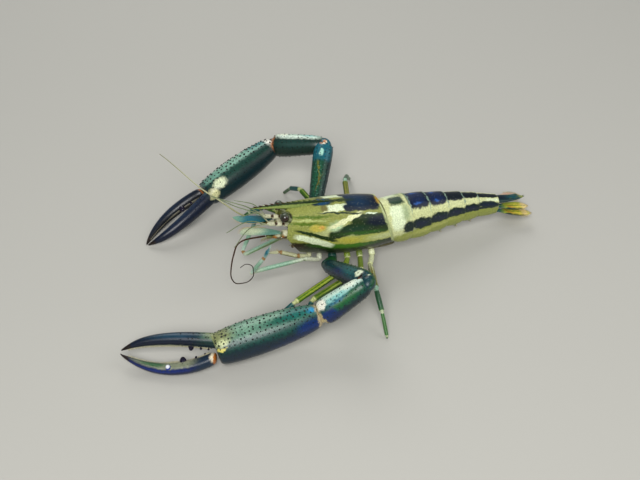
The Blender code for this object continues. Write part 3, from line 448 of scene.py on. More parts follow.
def cuticle(name, ground, patches=(), arc=0.31, ragged=2.5, drift=2.0, mottle=0.3, flecks=None,
            roughness=0.34, coat=0.16, pits=0.45, relief=0.25, mirror=True):
    """Wet shell: ragged patches of pigment, and a few of painted highlight and painted shade, under a clear,
    finely pitted skin.

    A patch is (colour, along, turn, half along, half turn, tilt, softness), and the
    word box makes it a rounded rectangle instead of an ellipse. Along is in
    millimetres and turn in degrees, and arc is the millimetres of one degree. Flecks
    are (colour, spacing, size, strength).
    """
    material = bpy.data.materials.new(name)
    material.use_nodes = True
    tree = material.node_tree
    shader = tree.nodes["Principled BSDF"]
    node = partial(add_node, tree)
    vector = partial(node, "ShaderNodeVectorMath")
    place = node("ShaderNodeTexCoord", "Object")
    along = node("ShaderNodeAttribute", "Fac", {"attribute_name": "along"})
    turn = node("ShaderNodeAttribute", "Fac", {"attribute_name": "turn"})
    if mirror:
        turn = node("ShaderNodeMath", 0, {"operation": "ABSOLUTE"}, {0: turn})
    turn = node("ShaderNodeMath", 0, {"operation": "MULTIPLY", 1: arc}, {0: turn})
    flat = node("ShaderNodeCombineXYZ", 0, None, {"X": along, "Y": turn})
    cloud = node("ShaderNodeTexNoise", "Color", {"Scale": 1.0 / (ragged * MM), "Detail": 4.0},
                 {"Vector": place})
    cloud = vector(0, {"operation": "SUBTRACT", 1: (0.5, 0.5, 0.5)}, {0: cloud})
    cloud = vector(0, {"operation": "SCALE", "Scale": drift * 2.0}, {0: cloud})
    where = vector(0, {"operation": "ADD"}, {0: flat, 1: cloud})
    tint = node("ShaderNodeMix", 2, {"data_type": "RGBA", 0: 0.0, 6: hex_colour(ground),
                                     7: hex_colour(ground)})
    for code, centre, middle, half_along, half_turn, tilt, softness, *box in patches:
        unit = node("ShaderNodeMapping", 0,
                    {"vector_type": "TEXTURE", "Location": (centre, middle * arc, 0.0),
                     "Rotation": (0.0, 0.0, math.radians(tilt)),
                     "Scale": (half_along, half_turn * arc, 1e6)}, {"Vector": where})
        if box:
            softness = softness * 2.0
            unit = vector(0, {"operation": "MULTIPLY"}, {0: unit, 1: unit})
        distance = vector("Value", {"operation": "LENGTH"}, {0: unit})
        inside = smooth_fall(tree, distance, max(0.0, 1.0 - softness), 1.0 + softness)
        tint = painted(tree, tint, code, inside)
    if flecks:
        code, spacing, size, strength = flecks
        cells = node("ShaderNodeTexVoronoi", "Distance", {"Scale": 1.0 / (spacing * MM)}, {"Vector": place})
        tint = painted(tree, tint, code, smooth_fall(tree, cells, size * 0.6, size, strength))
    grain = node("ShaderNodeTexNoise", "Fac",
                 {"Scale": 1.0 / (GRAIN_SIZE * MM), "Detail": 5.0, "Roughness": 0.65}, {"Vector": place})
    shade = grain_range(tree, grain, 1.0 - mottle, 1.0 + mottle)
    tint = node("ShaderNodeMix", 2, {"data_type": "RGBA", "blend_type": "MULTIPLY", 0: 1.0},
                {6: tint, 7: shade})
    tree.links.new(tint, shader.inputs["Base Color"])
    gloss = grain_range(tree, grain, roughness * GLOSS_SPREAD[0], roughness * GLOSS_SPREAD[1])
    tree.links.new(gloss, shader.inputs["Roughness"])
    pores = node("ShaderNodeTexVoronoi", "Distance", {"Scale": 1.0 / (pits * MM)}, {"Vector": place})
    height = node("ShaderNodeMath", 0, {"operation": "ADD"}, {0: pores, 1: grain})
    bump = node("ShaderNodeBump", 0, {"Strength": relief, "Distance": PORE_DEPTH * MM}, {"Height": height})
    tree.links.new(bump, shader.inputs["Normal"])
    shader.inputs["Specular IOR Level"].default_value = SPECULAR
    shader.inputs["Coat Weight"].default_value = coat
    shader.inputs["Coat Roughness"].default_value = CLEAR_COAT_ROUGHNESS
    return material

# %% [markdown]
# ## The carapace
# One shield covers the head and thorax. It is thin and open below, where its sides hang
# free over the gills. A full tube is lofted first, because its curves are easy to read,
# and rounded; then planes cut the rear, front and lower margins as CAD cuts them, and
# Solidify gives the wall its thickness, so that the margins show a real edge.

# %% The shield's sections and margins
CARAPACE_HALF_WIDTH = ((-6, 14.4), (5, 15.6), (18, 17.3), (36, 18.0), (56, 15.8), (80, 12.6))
CARAPACE_TOP = ((-6, 16.2), (5, 17.4), (18, 19.2), (36, 20.4), (58, 20.2), (80, 18.0))
CARAPACE_BOTTOM = ((-6, 14.5), (5, 16.2), (18, 18.6), (36, 20.4), (56, 18.6), (80, 15.0))
SHIELD_STATIONS = (-6, 1, 8, 16, 26, 37, 48, 58, 67, 74, 83)
FULLNESS = 1.02               # makes up for the rounding of the cage


def shield_ring(ahead):
    """The shield's section at one station."""
    top, bottom = between(CARAPACE_TOP, ahead), between(CARAPACE_BOTTOM, ahead)
    return (spot(ahead, 0.0, (top - bottom) / 2.0), ACROSS, UPWARD,
            between(CARAPACE_HALF_WIDTH, ahead) * FULLNESS, (top + bottom) / 2.0 * FULLNESS, ahead)


shield = loft("carapace_shell", [shield_ring(ahead) for ahead in SHIELD_STATIONS], 24, 3)
print("the shield's full tube:", len(shield.data.polygons), "faces")

# %% Cut the margins
REAR_EDGE, REAR_TILT = 5.0, math.radians(26.0)
ORBIT_EDGE, CORNER_HEIGHT, CORNER_TILT = 79.3, 3.0, math.radians(39.5)
LOWER_AHEAD, LOWER_EDGE, LOWER_TILT = 36.0, 15.2, math.radians(1.8)
SHIELD_WALL = 1.5
REAR_PLANE = (spot(REAR_EDGE), -AHEAD * math.cos(REAR_TILT) + UPWARD * math.sin(REAR_TILT))
margins = (
    REAR_PLANE,
    (spot(ORBIT_EDGE), AHEAD),
    (spot(ORBIT_EDGE, 0.0, CORNER_HEIGHT), AHEAD * math.cos(CORNER_TILT) - UPWARD * math.sin(CORNER_TILT)),
    (spot(LOWER_AHEAD, 0.0, -LOWER_EDGE), AHEAD * math.sin(LOWER_TILT) - UPWARD * math.cos(LOWER_TILT)),
)
bpy.ops.object.mode_set(mode="EDIT")
for point, normal in margins:
    bpy.ops.mesh.select_all(action="SELECT")
    bpy.ops.mesh.bisect(plane_co=world(point), plane_no=normal, clear_outer=True)
bpy.ops.object.mode_set(mode="OBJECT")
apply_modifier(shield, "SOLIDIFY", thickness=SHIELD_WALL * MM, offset=-1.0, use_even_offset=True)

# %% Hollow the orbits
# A ball is cut out where each eye swings, as the real orbit is a round notch.
EYE_CENTRE, ORBIT_RADIUS = (80.9, 6.3, 15.0), 5.0
SHARP_EDGE = math.radians(35.0)
for side in SIDES.values():
    bpy.ops.object.select_all(action="DESELECT")
    bpy.ops.mesh.primitive_uv_sphere_add(segments=32, ring_count=20, radius=ORBIT_RADIUS * MM,
                                         location=world(paired(EYE_CENTRE, side)))
    orbit = bpy.context.object
    apply_modifier(shield, "BOOLEAN", operation="DIFFERENCE", object=orbit, solver="EXACT")
    bpy.data.objects.remove(orbit)
shield.select_set(True)
bpy.context.view_layer.objects.active = shield
bpy.ops.object.shade_smooth_by_angle(angle=SHARP_EDGE)
chart(shield, HIP, AHEAD, UPWARD, -ACROSS)
print("the shield:", len(shield.data.polygons), "faces")

# %% [markdown]
# ## The carapace's markings
# Olive and green with cream and navy patches: a dark stripe along the back, cream
# beside it, a large dark patch on each flank, and a cream band under a dark line at
# the cheek. The values were read from the photograph through the fitted camera.

# %% Paint the shield
CREAM, CREAM_WHITE, YELLOW_GREEN, TAN_GREEN = "E6E9B4", "E3EFC6", "A3A84E", "8E9448"
GREEN, DARK_GREEN, NAVY = "3E7414", "1B300A", "061525"
GOLD, ORANGE, BROWN, TEAL, PALE_TEAL = "BDB04A", "A26A26", "3E2008", "0C6474", "86AE92"
carapace_finish = cuticle("wet_carapace_shell", TAN_GREEN, (
    ("B4BA7C", 45, 70, 16, 22, 0, 0.4),
    ("16280A", 36, 119, 60, 25, 0, 0.12, "box"),
    (GREEN, 40, 102, 20, 8.5, 0, 0.7),
    (YELLOW_GREEN, 26, 86, 29, 10.5, 0, 0.16, "box"),
    ("B9C084", 12, 86, 11, 8, 0, 0.7),
    ("B4AE40", 38, 87, 9, 7, 0, 0.8),
    (CREAM_WHITE, 61, 87, 14, 8.5, -20, 0.18, "box"),
    (DARK_GREEN, 22, 54, 16.0, 21, 0, 0.1, "box"),
    (DARK_GREEN, 41.5, 65, 11.5, 11, 16, 0.14, "box"),
    ("12351F", 34, 61, 10, 7, 0, 0.8),
    (NAVY, 17, 48, 10, 11, 0, 0.4),
    ("265208", 28, 71, 15, 4.0, 0, 0.7),
    ("B4CFA0", 48, 53, 4.5, 9, 10, 0.6),
    (CREAM, 41, 42.5, 12.5, 4.8, 19, 0.2, "box"),
    (CREAM_WHITE, 45, 16.5, 8, 7.4, 0, 0.12, "box"),
    ("6E6A38", 54.5, 15, 2.6, 6, 0, 0.4),
    ("D0D4A0", 54, 23, 4.0, 1.6, 0, 0.5),
    ("56701A", 66, 29, 15, 3.0, -4, 0.5),
    ("B0BC72", 66, 36, 12, 1.8, -5, 0.6),
    ("56701A", 66, 43, 13, 3.2, -7, 0.5),
    (GOLD, 60, 54, 5.2, 8, 0, 0.4),
    ("CFA24C", 57.5, 52, 1.8, 4, 0, 0.5),
    (NAVY, 26.5, 0, 12.3, 26, 0, 0.08, "box"),
    (NAVY, 37.5, 19, 3.8, 7, 0, 0.2, "box"),
    ("0A2C48", 30, 6, 8, 12, 0, 0.8),
    (DARK_GREEN, 44, 27.5, 15, 1.7, -4.5, 0.25, "box"),
    (DARK_GREEN, 66, 0, 31, 4.4, 0, 0.25, "box"),
    ("0B2A30", 55, 0, 7, 9, 0, 0.25, "box"),
    ("0C4468", 54.5, 3, 3.6, 5, 0, 0.7),
    ("E0F0D0", 22.5, 32.5, 4.2, 1.5, 0, 0.35),
    (DARK_GREEN, 60, 72, 15, 4.2, -20, 0.18, "box"),
    ("B5BE86", 12.8, 22, 7.5, 6.5, 101, 0.3, "box"),
    ("A9B47C", 6.2, 82, 13, 5.5, 114, 0.3, "box"),
    ("B08A2A", 14.6, 3, 1.8, 8, 0, 0.6),
    ("2A1E08", 74, 112, 9, 18, 0, 0.5),
), arc=0.31, ragged=3.2, drift=1.5, flecks=("E9EDC0", 1.4, 0.2, 0.25))
dress(shield, "carapace_shell", carapace_finish, "carapace")

# %% [markdown]
# ## Rostrum, teeth and spines
# The rostrum is a thin blade between the eyes, with a row of forward-pointing teeth
# above, a few below and a ridge along each side. The blade is a lofted tube whose side
# corners are pulled out for the ridge. One curved tooth is modelled and copied to each
# place, a little smaller towards both ends of the row.

# %% The blade
ROSTRUM_TOP = ((42, 20.0), (52, 21.4), (62, 21.9), (76, 21.7), (86, 21.4), (95, 20.5), (103.4, 19.6))
ROSTRUM_BOTTOM = ((42, 17.0), (62, 16.4), (79, 16.6), (86, 17.4), (95, 18.2), (103.4, 19.2))
ROSTRUM_HALF_WIDTH = ((42, 0.8), (62, 1.6), (77, 2.3), (86, 1.6), (95, 1.0), (103.4, 0.25))
BLADE_STATIONS = (44, 52, 60, 68, 74, 80, 86, 92, 97, 101, 103.2)
BLADE_FULLNESS, RIDGE_PULL = 0.62, 2.0    # the side ridges are pulled out to twice that width
blade = begin("rostrum_blade")
for ahead in BLADE_STATIONS:
    top, bottom = between(ROSTRUM_TOP, ahead), between(ROSTRUM_BOTTOM, ahead)
    add_ring(spot(ahead, 0.0, (top + bottom) / 2.0), ACROSS, UPWARD,
             between(ROSTRUM_HALF_WIDTH, ahead) * BLADE_FULLNESS, (top - bottom) / 2.0, 12, ahead)
skin(blade, 12)
bpy.ops.mesh.select_all(action="DESELECT")
mesh = bmesh.from_edit_mesh(blade.data)
for corner, mark in zip(mesh.verts, MARKS):
    corner.select = abs(abs(mark[1]) - 90.0) < 1.0
bpy.ops.transform.resize(value=(1.0, RIDGE_PULL, 1.0), center_override=world(spot(72)))
complete(blade, 2)

# %% One tooth, copied along the blade
TOOTH_RINGS = ((0.0, 0.0, 0.42, 1.5), (0.45, 0.5, 0.34, 1.1), (0.8, 1.2, 0.24, 0.7), (1.05, 2.2, 0.1, 0.25))
UPPER_TEETH, FIRST_UPPER, LAST_UPPER = 14, 51.0, 98.8
LOWER_TEETH, FIRST_LOWER, LOWER_SPACING = 4, 84.0, 3.6
tooth = begin("tooth")
for height, lean, width, depth in TOOTH_RINGS:
    add_circle(Vector((lean, 0.0, height)), Matrix.Identity(3), depth, width, 8)
    MARKS.extend([(0.0, 0.0)] * 8)
skin(tooth, 8)
complete(tooth, 1)
put_away(tooth)
tooth_places = []
for number in range(UPPER_TEETH):
    ahead = FIRST_UPPER + (LAST_UPPER - FIRST_UPPER) * number / (UPPER_TEETH - 1)
    size = (1.0 - 0.38 * abs(number / (UPPER_TEETH - 1) - 0.45)) * 1.25
    foot = world(spot(ahead, 0.0, between(ROSTRUM_TOP, ahead) - 0.25))
    tooth_places.append(framed(foot, AHEAD * size, -ACROSS * size, UPWARD * size))
for number in range(LOWER_TEETH):
    ahead, size = FIRST_LOWER + LOWER_SPACING * number, 0.95 - 0.07 * number
    foot = world(spot(ahead, 0.0, between(ROSTRUM_BOTTOM, ahead) + 0.3))
    tooth_places.append(framed(foot, AHEAD * size, ACROSS * size, -UPWARD * size))
teeth = repeated("rostral_teeth", tooth, tooth_places)
chart(teeth, HIP, AHEAD, UPWARD, -ACROSS)
print("rostral teeth:", len(tooth_places))

# %% Spines of the cheek
CHEEK_SPINES = ((77.6, 4.2, 1.5), (65.5, -2.5, 1.25))       # ahead, above, length
CHEEK_HALF_HEIGHT, SPINE_SPLAY, SPINE_SINK = 17.0, 0.12, 0.25
spine_places = []
for side in SIDES.values():
    for ahead, above, length in CHEEK_SPINES:
        reach = between(CARAPACE_HALF_WIDTH, ahead) * math.sqrt(1.0 - (above / CHEEK_HALF_HEIGHT) ** 2)
        forward = (AHEAD + ACROSS * side * SPINE_SPLAY).normalized()
        outward = square_to(forward, ACROSS * side)
        third = outward.cross(forward)
        spine_places.append(framed(world(spot(ahead, side * (reach - SPINE_SINK), above)), forward * length,
                                   third * length * 1.4, outward * length))
spines = repeated("cheek_spines", tooth, spine_places)
chart(spines, HIP, AHEAD, UPWARD, -ACROSS)
dress(spines, "carapace_shell", carapace_finish)

# %% Paint the rostrum
# Light green sides between dark edges, browner and redder below towards the tip.
rostrum_finish = cuticle("wet_rostrum_shell", "7E8E46", (
    (DARK_GREEN, 72, 0, 60, 30, 0, 0.3),
    (BROWN, 92, 150, 20, 60, 0, 0.3),
    (ORANGE, 96, 120, 8, 16, 0, 0.6),
    (DARK_GREEN, 70, 178, 40, 24, 0, 0.4),
), arc=0.03, ragged=1.2, drift=0.5)
chart(blade, spot(0.0, 0.0, 19.0), AHEAD, UPWARD, -ACROSS)
dress(blade, "carapace_shell", rostrum_finish, "carapace")
tooth_finish = cuticle("dark_tooth_tips", "4A5A22", (band(BROWN, 92, 14, 0.6),), drift=0.5)
dress(teeth, "carapace_shell", tooth_finish)

# %% [markdown]
# ## Eyes on stalks
# A shrimp's eye is a dark, finely faceted ball on a short pale stalk that it can swing.
# The ball is flattened a little along the stalk. A ring of shell grips it from behind,
# so the stalk is lofted past the joint and flares there.

# %% Stalks and eyes
FACE_EDGE, FACE_HEIGHT, FACE_TILT = 73.6, 14.0, math.radians(20.0)


def on_face(aside, above):
    """A point of the face at a given height."""
    return spot(FACE_EDGE - (FACE_HEIGHT - above) * math.tan(FACE_TILT), aside, above)


STALK_ROOT = (3.9, 10.1)
EYE_RADIUS, EYE_FLATNESS = 3.15, 0.93
stalk_finish = cuticle("pale_stalk_skin", "C9CFA6", (
    (DARK_GREEN, 6.5, 0, 1.2, 60, 0, 0.5), ("7C8A5C", 4, 0, 3, 40, 0, 0.5)), arc=0.03, drift=0.4)
eye_finish = cuticle("dark_faceted_eye", "120D0B", (
    ("4E5A48", 2.8, 0, 3.4, 52, 0, 0.3), ("2A1A12", 4.5, 60, 2.0, 40, 0, 0.8)), arc=0.05, ragged=0.8,
    drift=0.25, mottle=0.15, roughness=0.16, coat=0.6, pits=0.25, relief=0.08)
for name, side in SIDES.items():
    centre = paired(EYE_CENTRE, side)
    root = on_face(side * STALK_ROOT[0], STALK_ROOT[1])
    direction, reach = (centre - root).normalized(), (centre - root).length
    lift = square_to(direction, SKY)
    girth = ((-1.0, 1.3), (0.6, 1.35), (reach - 3.4, 1.75), (reach - 2.4, 2.35), (reach - 1.3, 2.75),
             (reach - 0.9, 2.5))
    rings = [(root + direction * distance, direction.cross(lift), lift, radius, radius, distance)
             for distance, radius in girth]
    stalk = loft("eyestalk_" + name, rings, 16)
    dress(stalk, "eyestalk", stalk_finish, "eyestalk_" + name)
    bpy.ops.object.select_all(action="DESELECT")
    turn = Matrix((direction.cross(lift), lift, -direction)).transposed().to_euler()
    bpy.ops.mesh.primitive_uv_sphere_add(segments=40, ring_count=28, radius=EYE_RADIUS * MM,
                                         location=world(centre), rotation=turn,
                                         scale=(1.0, 1.0, EYE_FLATNESS))
    eye = bpy.context.object
    eye.name = "eyeball_" + name
    bpy.ops.object.transform_apply(location=True, rotation=True, scale=True)
    bpy.ops.object.shade_smooth()
    chart(eye, centre - direction * EYE_RADIUS, direction, SKY, ACROSS * side)
    dress(eye, "eye", eye_finish, "eye_" + name)
print("eyes at", [tuple(round(value, 1) for value in paired(EYE_CENTRE, side)) for side in SIDES.values()])

# %% [markdown]
# ## Antennules and antennae
# Two pairs of feelers grow from the face. Each antennule has three short segments and
# three thin whips. Each antenna has a thick base, a flat scale that steers the animal,
# and one very long whip of many little rings.

# %% Antennules
ANTENNULE_ROOT = (3.2, 6.4)
ANTENNULE_SEGMENTS = ((9.5, 1.9), (5.0, 1.65), (5.0, 1.5))
ANTENNULE_GIRTH = ((-0.03, 0.7, 0.65), (0.1, 0.95, 0.85), (0.5, 1.0, 0.9), (0.86, 1.05, 0.95),
                   (0.97, 0.9, 0.8))
ANTENNULE_WHIP_RADII = (0.5, 0.24)
ANTENNULE_FLAGELLA = ((34.0, 12.0, 10.0), (30.0, 20.0, 2.0), (22.0, 4.0, 16.0))    # length, aside, above
antennule_finish = cuticle("pale_antennule_skin", "D8D6B4", (
    (BROWN, 9.4, 40, 0.9, 60, 0, 0.5), (BROWN, 14.4, 40, 0.8, 60, 0, 0.5),
    ("8E9A6A", 5, 0, 3, 40, 0, 0.7), band("6B7A52", 45, 22, 0.5)), arc=0.03, drift=0.7)
for name, side in SIDES.items():
    joint = on_face(side * ANTENNULE_ROOT[0], ANTENNULE_ROOT[1])
    forward = (AHEAD + ACROSS * side * 0.04 + UPWARD * 0.13).normalized()
    antennule = begin("antennule_" + name)
    travelled = 0.0
    for length, radius in ANTENNULE_SEGMENTS:
        profile = [(share, radius * width, radius * height) for share, width, height in ANTENNULE_GIRTH]
        add_segment(antennule, joint, joint + forward * length, UPWARD, profile, 12, travelled)
        joint = joint + forward * length
        travelled += length
        add_ball(antennule, joint, forward, radius * 0.72, 8, travelled)
    for number, (length, aside, above) in enumerate(ANTENNULE_FLAGELLA):
        base = joint - forward * 1.0 + ACROSS * side * (0.7 - 0.7 * number) + UPWARD * (0.35 * number - 0.3)
        middle = base + forward * length * 0.5 + ACROSS * side * aside * 0.25 + UPWARD * above * 0.55
        tip = base + forward * length + ACROSS * side * aside + UPWARD * (above * 0.7 - 3.0)
        add_whip(antennule, smooth_route([base, middle, tip], 2.2), *ANTENNULE_WHIP_RADII, 6, travelled)
    complete(antennule, 1)
    dress(antennule, "antennule", antennule_finish, "antennule_" + name)
print("antennule faces:", len(antennule.data.polygons))

# %% Antenna bases
BASE_BLOCK = ((-0.04, 2.3, 2.2), (0.3, 2.95, 2.8), (0.85, 3.0, 2.9), (0.97, 2.6, 2.5))
BASE_ARM = ((0.0, 1.7, 1.7), (0.3, 1.95, 1.9), (0.85, 2.0, 1.9), (0.98, 1.6, 1.5))
BASE_KNOB = ((0.05, 1.4, 1.4), (0.3, 1.85, 1.8), (0.8, 1.7, 1.6), (1.0, 1.1, 1.1))
base_finish = cuticle("brown_green_base_shell", "6E7440", (
    (BROWN, 6, 120, 9, 50, 0, 0.4), ("D8D6B4", 10.5, 30, 2, 50, 0, 0.4), ("EDEFD8", 7, 95, 1.2, 12, 0, 0.3),
    (DARK_GREEN, 15, 0, 3, 60, 0, 0.6), (ORANGE, 13, 100, 1.5, 50, 0, 0.5)), arc=0.05, drift=0.7)
for name, side in SIDES.items():
    base = begin("antenna_base_" + name)
    add_segment(base, on_face(side * 6.7, 1.2), paired((81.5, 6.7, 1.8), side), UPWARD, BASE_BLOCK, 14, 0.0)
    start, end = paired((78.5, 6.1, -0.2), side), paired((91.3, 6.9, 1.6), side)
    middle = start.lerp(end, 0.6)
    add_segment(base, start, middle, UPWARD, BASE_ARM, 12, 5.0)
    add_ball(base, middle, (end - start).normalized(), 1.35, 10, 12.6)
    add_segment(base, middle, end, UPWARD, BASE_KNOB, 12, 13.0)
    complete(base, 2)
    dress(base, "antenna_base", base_finish, "antenna_base_" + name)

# %% Antennal scales
# A stiff outer edge with a tooth, and a leafy inner part with a fringe of hairs.
SCALE_START, SCALE_ASIDE, SCALE_ABOVE = 81.8, 7.6, 4.0
SCALE_LENGTH, SCALE_RISE = 28.0, 2.4
SCALE_STATIONS = (0.0, 0.08, 0.2, 0.32, 0.46, 0.6, 0.72, 0.82, 0.9, 0.96, 1.0)
SCALE_OUTER = ((0.0, 1.4), (0.2, 1.9), (0.6, 2.2), (0.85, 2.0), (1.0, 0.9))
SCALE_INNER = ((0.0, 1.4), (0.2, 3.6), (0.5, 5.6), (0.8, 5.2), (0.93, 3.2), (1.0, -0.1))
SCALE_HAIRS, HAIR_LENGTH = 46, 1.9
hair = little_model("hair", ((0.0, 0.09), (0.5, 0.075), (1.0, 0.03)), 4, 0)
scale_finish = {
    "L": cuticle("pale_green_scale", "8FA08A", (
        ("5E8A7A", 8, 0, 9, 4, 0, 0.6), ("B9C4A0", 20, -2, 8, 3, 0, 0.7)), arc=1.0, drift=0.8, mirror=False),
    "R": cuticle("teal_scale", TEAL, (
        ("0A3E3A", 4, 0, 8, 5, 0, 0.7), ("5A4A2A", 14, 4.4, 20, 1.6, 0, 0.5),
        ("6E9A84", 27, 0, 5, 5, 0, 0.8)), arc=1.0, drift=0.8, mirror=False),
}
fringe_finish = cuticle("pale_setae", "B9A878", drift=0.5, coat=0.1, roughness=0.5)


def on_scale(share, aside, side):
    """A point of an antennal scale, aside from the line that its teeth start from."""
    ahead, above = SCALE_START + share * SCALE_LENGTH, SCALE_ABOVE + SCALE_RISE * share
    return spot(ahead, side * (SCALE_ASIDE + aside), above)


for name, side in SIDES.items():
    rings = []
    for share in SCALE_STATIONS:
        outer, inner = between(SCALE_OUTER, share), between(SCALE_INNER, share)
        rings.append((on_scale(share, (outer - inner) / 2.0, side), ACROSS, UPWARD, (outer + inner) / 2.0,
                      0.62 - 0.3 * share, share * SCALE_LENGTH))
    leaf = loft("antennal_scale_" + name, rings, 12)
    chart(leaf, on_scale(0.0, 0.0, side), AHEAD, UPWARD, ACROSS * side, flat=True)
    dress(leaf, "antenna_scale", scale_finish[name], "antenna_scale_" + name)
    hairs = []
    for number in range(SCALE_HAIRS):
        share = 0.3 + 0.69 * number / (SCALE_HAIRS - 1)
        root = on_scale(share, 0.3 - between(SCALE_INNER, share), side)
        direction = AHEAD * (0.6 + share) - ACROSS * side * (1.25 - 0.75 * share)
        hairs.append(aim(world(root), direction, UPWARD, 1.0, 1.0, HAIR_LENGTH))
    fringe = repeated("scale_fringe_" + name, hair, hairs)
    dress(fringe, "antenna_scale", fringe_finish)

# %% The long whips
WHIP_ROOT, WHIP_RADIUS, WHIP_TIP_RADIUS = (91.5, 6.9, 1.6), 0.66, 0.28
WHIP_STEPS = {
    "L": ((0, 0, 0), (-9, -0.6, 1.6), (-15.5, -1.6, 2.6), (-19.5, -2.6, 1.2), (-22, -3.6, -4),
          (-24.5, -4.6, -12), (-26, -5.6, -22), (-23, -6.6, -29), (-16.5, -7.2, -29.5),
          (-11.5, -7.4, -24), (-11.5, -7.2, -17), (-16, -6.8, -13), (-20, -6.4, -16)),
    "R": ((0, 0, 0), (-8, 6, 2.5), (-17, 22, 2.5), (-27, 46, -0.5), (-35, 73, -4), (-40, 93, -8),
          (-43, 104, -10.5)),
}
WHIP_NODES = {"L": 3, "R": 2}
whip_finish = {
    "L": cuticle("dark_ringed_feeler", "2A2416", (band(BROWN, 20, 30, 0.8),), drift=0.4, pits=0.8,
                 relief=0.5),
    "R": cuticle("pale_ringed_feeler", "8C8A5E", (band("B9B98E", 60, 30, 0.9),), drift=0.4, pits=0.8,
                 relief=0.5),
}
for name, side in SIDES.items():
    start = paired(WHIP_ROOT, side)
    route = smooth_route([start + Vector(step) for step in WHIP_STEPS[name]], 2.4)
    whip = begin("antenna_whip_" + name)
    add_whip(whip, route, WHIP_RADIUS, WHIP_TIP_RADIUS, 8, 0.0)
    complete(whip, 1)
    dress(whip, "feeler", whip_finish[name],
          *["antenna_flagellum_%s_%d" % (name, number + 1) for number in range(WHIP_NODES[name])])
print("whip faces:", len(whip.data.polygons))

# %% [markdown]
# ## Jointed legs
# Each leg is a row of hard tubes with a hinge of soft skin between them. The tubes
# narrow at the hinge and end in a raised collar. In CAD one solid covers several of
# them; here each is its own closed tube with a ball of skin in the gap.

# %% Where each limb grows and how it steps
LIMB_ROOTS = {
    "maxilliped": ((58.5, 6.63, -16.18), (0.201, 0.81, -0.551)),
    "leg_1": ((51.5, 7.76, -16.99), (0.189, 0.826, -0.531)),
    "cheliped": ((42.8, 8.52, -17.37), (0.015, 0.83, -0.557)),
    "leg_3": ((32.0, 8.66, -17.31), (0.002, 0.815, -0.579)),
    "leg_4": ((23.0, 8.72, -17.2), (-0.005, 0.804, -0.594)),
    "leg_5": ((14.0, 8.74, -17.05), (-0.012, 0.797, -0.603)),
}
COXA_LENGTHS = {"maxilliped": 3.0, "leg_1": 4.5, "cheliped": 5.0, "leg_3": 4.5, "leg_4": 4.5, "leg_5": 4.5}


def limb_joints(limb, side, steps):
    """A limb's joints: its root, the end of its coxa, then its steps."""
    place, outward = LIMB_ROOTS[limb]
    direction = AHEAD * outward[0] + ACROSS * side * outward[1] + UPWARD * outward[2]
    joints = [paired(place, side)]
    joints.append(joints[0] + direction * COXA_LENGTHS[limb])
    for length, bearing, rise in steps:
        joints.append(joints[-1] + heading(bearing, rise, side) * length)
    return joints


def tube_profile(near, wide, far, flatness=1.0):
    """Neck, swelling and collar of a leg's segment."""
    rows = ((0.015, near * 0.8), (0.05, near * 1.15), (0.16, wide * 0.93), (0.5, wide), (0.82, wide * 0.92),
            (0.93, wide * 0.98), (0.975, wide * 0.94), (0.99, far * 0.8))
    return [(share, width, width * flatness) for share, width in rows]


HINGE_GIRTH = 1.18            # a hinge's skin against the collar before it


def limb_piece(name, joints, first, last, profiles, points):
    """Model a limb's segments from one joint to another, with skin in the gaps."""
    piece = begin(name)
    lift, travelled = SKY, 0.0
    for number, profile in zip(range(first, last), profiles):
        start, end = joints[number], joints[number + 1]
        lift = add_segment(piece, start, end, lift, profile, points, travelled)
        travelled += (end - start).length
        if number + 2 < len(joints):
            onward = (end - start).normalized() + (joints[number + 2] - end).normalized()
            add_ball(piece, end, onward.normalized(), profile[-1][1] * HINGE_GIRTH, 10, travelled)
    return complete(piece, 2)


# %% Walking legs
WALKING_STEPS = {
    ("leg_3", "L"): ((10.0, 55, -4), (46.5, 27, 6), (11.5, 10, -32), (12.0, 22, -48), (5.5, 22, -66)),
    ("leg_4", "L"): ((11.0, 72, -6), (46.5, 26, 8), (11.5, 45, -30), (9.0, 30, -48), (5.5, 26, -66)),
    ("leg_5", "L"): ((11.0, 60, 10), (32.5, 74, 17), (15.0, 86, -31), (15.5, 86, -44), (5.5, 86, -60)),
    ("leg_3", "R"): ((10.5, 62, -4), (43.5, 40, 8), (13.0, 30, -30), (13.0, 34, -48), (5.5, 36, -66)),
    ("leg_4", "R"): ((10.0, 50, 3), (41.0, 74, 9), (13.0, 70, -30), (13.5, 74, -50), (5.5, 76, -66)),
    ("leg_5", "R"): ((11.0, 80, 8), (34.0, 104, 16), (14.0, 118, -28), (16.0, 122, -46), (5.5, 124, -60)),
}
# Per leg: root, merus, carpus and foot colours, a painted highlight along the upper side of the merus, and the
# knee colour.
LEG_COLOURS = {
    "leg_3": ("7F9434", "467218", "0F5654", "2E5E2E", "A4B43A", "C4CA8C"),
    "leg_4": ("6E8232", "3C6418", "0C4A48", "2A5226", "8EA030", "B9C07E"),
    "leg_5": ("DDE2B4", "5A6A26", "1C4A2A", "3E6E32", "8C8440", "8FB49A"),
}
THIGH_PROFILES = (tube_profile(1.9, 2.35, 1.5, 0.88), tube_profile(1.5, 2.0, 1.55),
                  tube_profile(1.5, 2.15, 1.5))
TOE_PROFILE = ((0.02, 0.75, 0.75), (0.12, 0.95, 0.95), (0.5, 0.8, 0.8), (0.85, 0.5, 0.5), (1.0, 0.34, 0.34))
SHANK_PROFILES = (tube_profile(1.25, 1.85, 1.25), tube_profile(1.1, 1.3, 0.95), TOE_PROFILE)
TOE_HEIGHT = 0.35             # the toe's middle stands this far over the floor
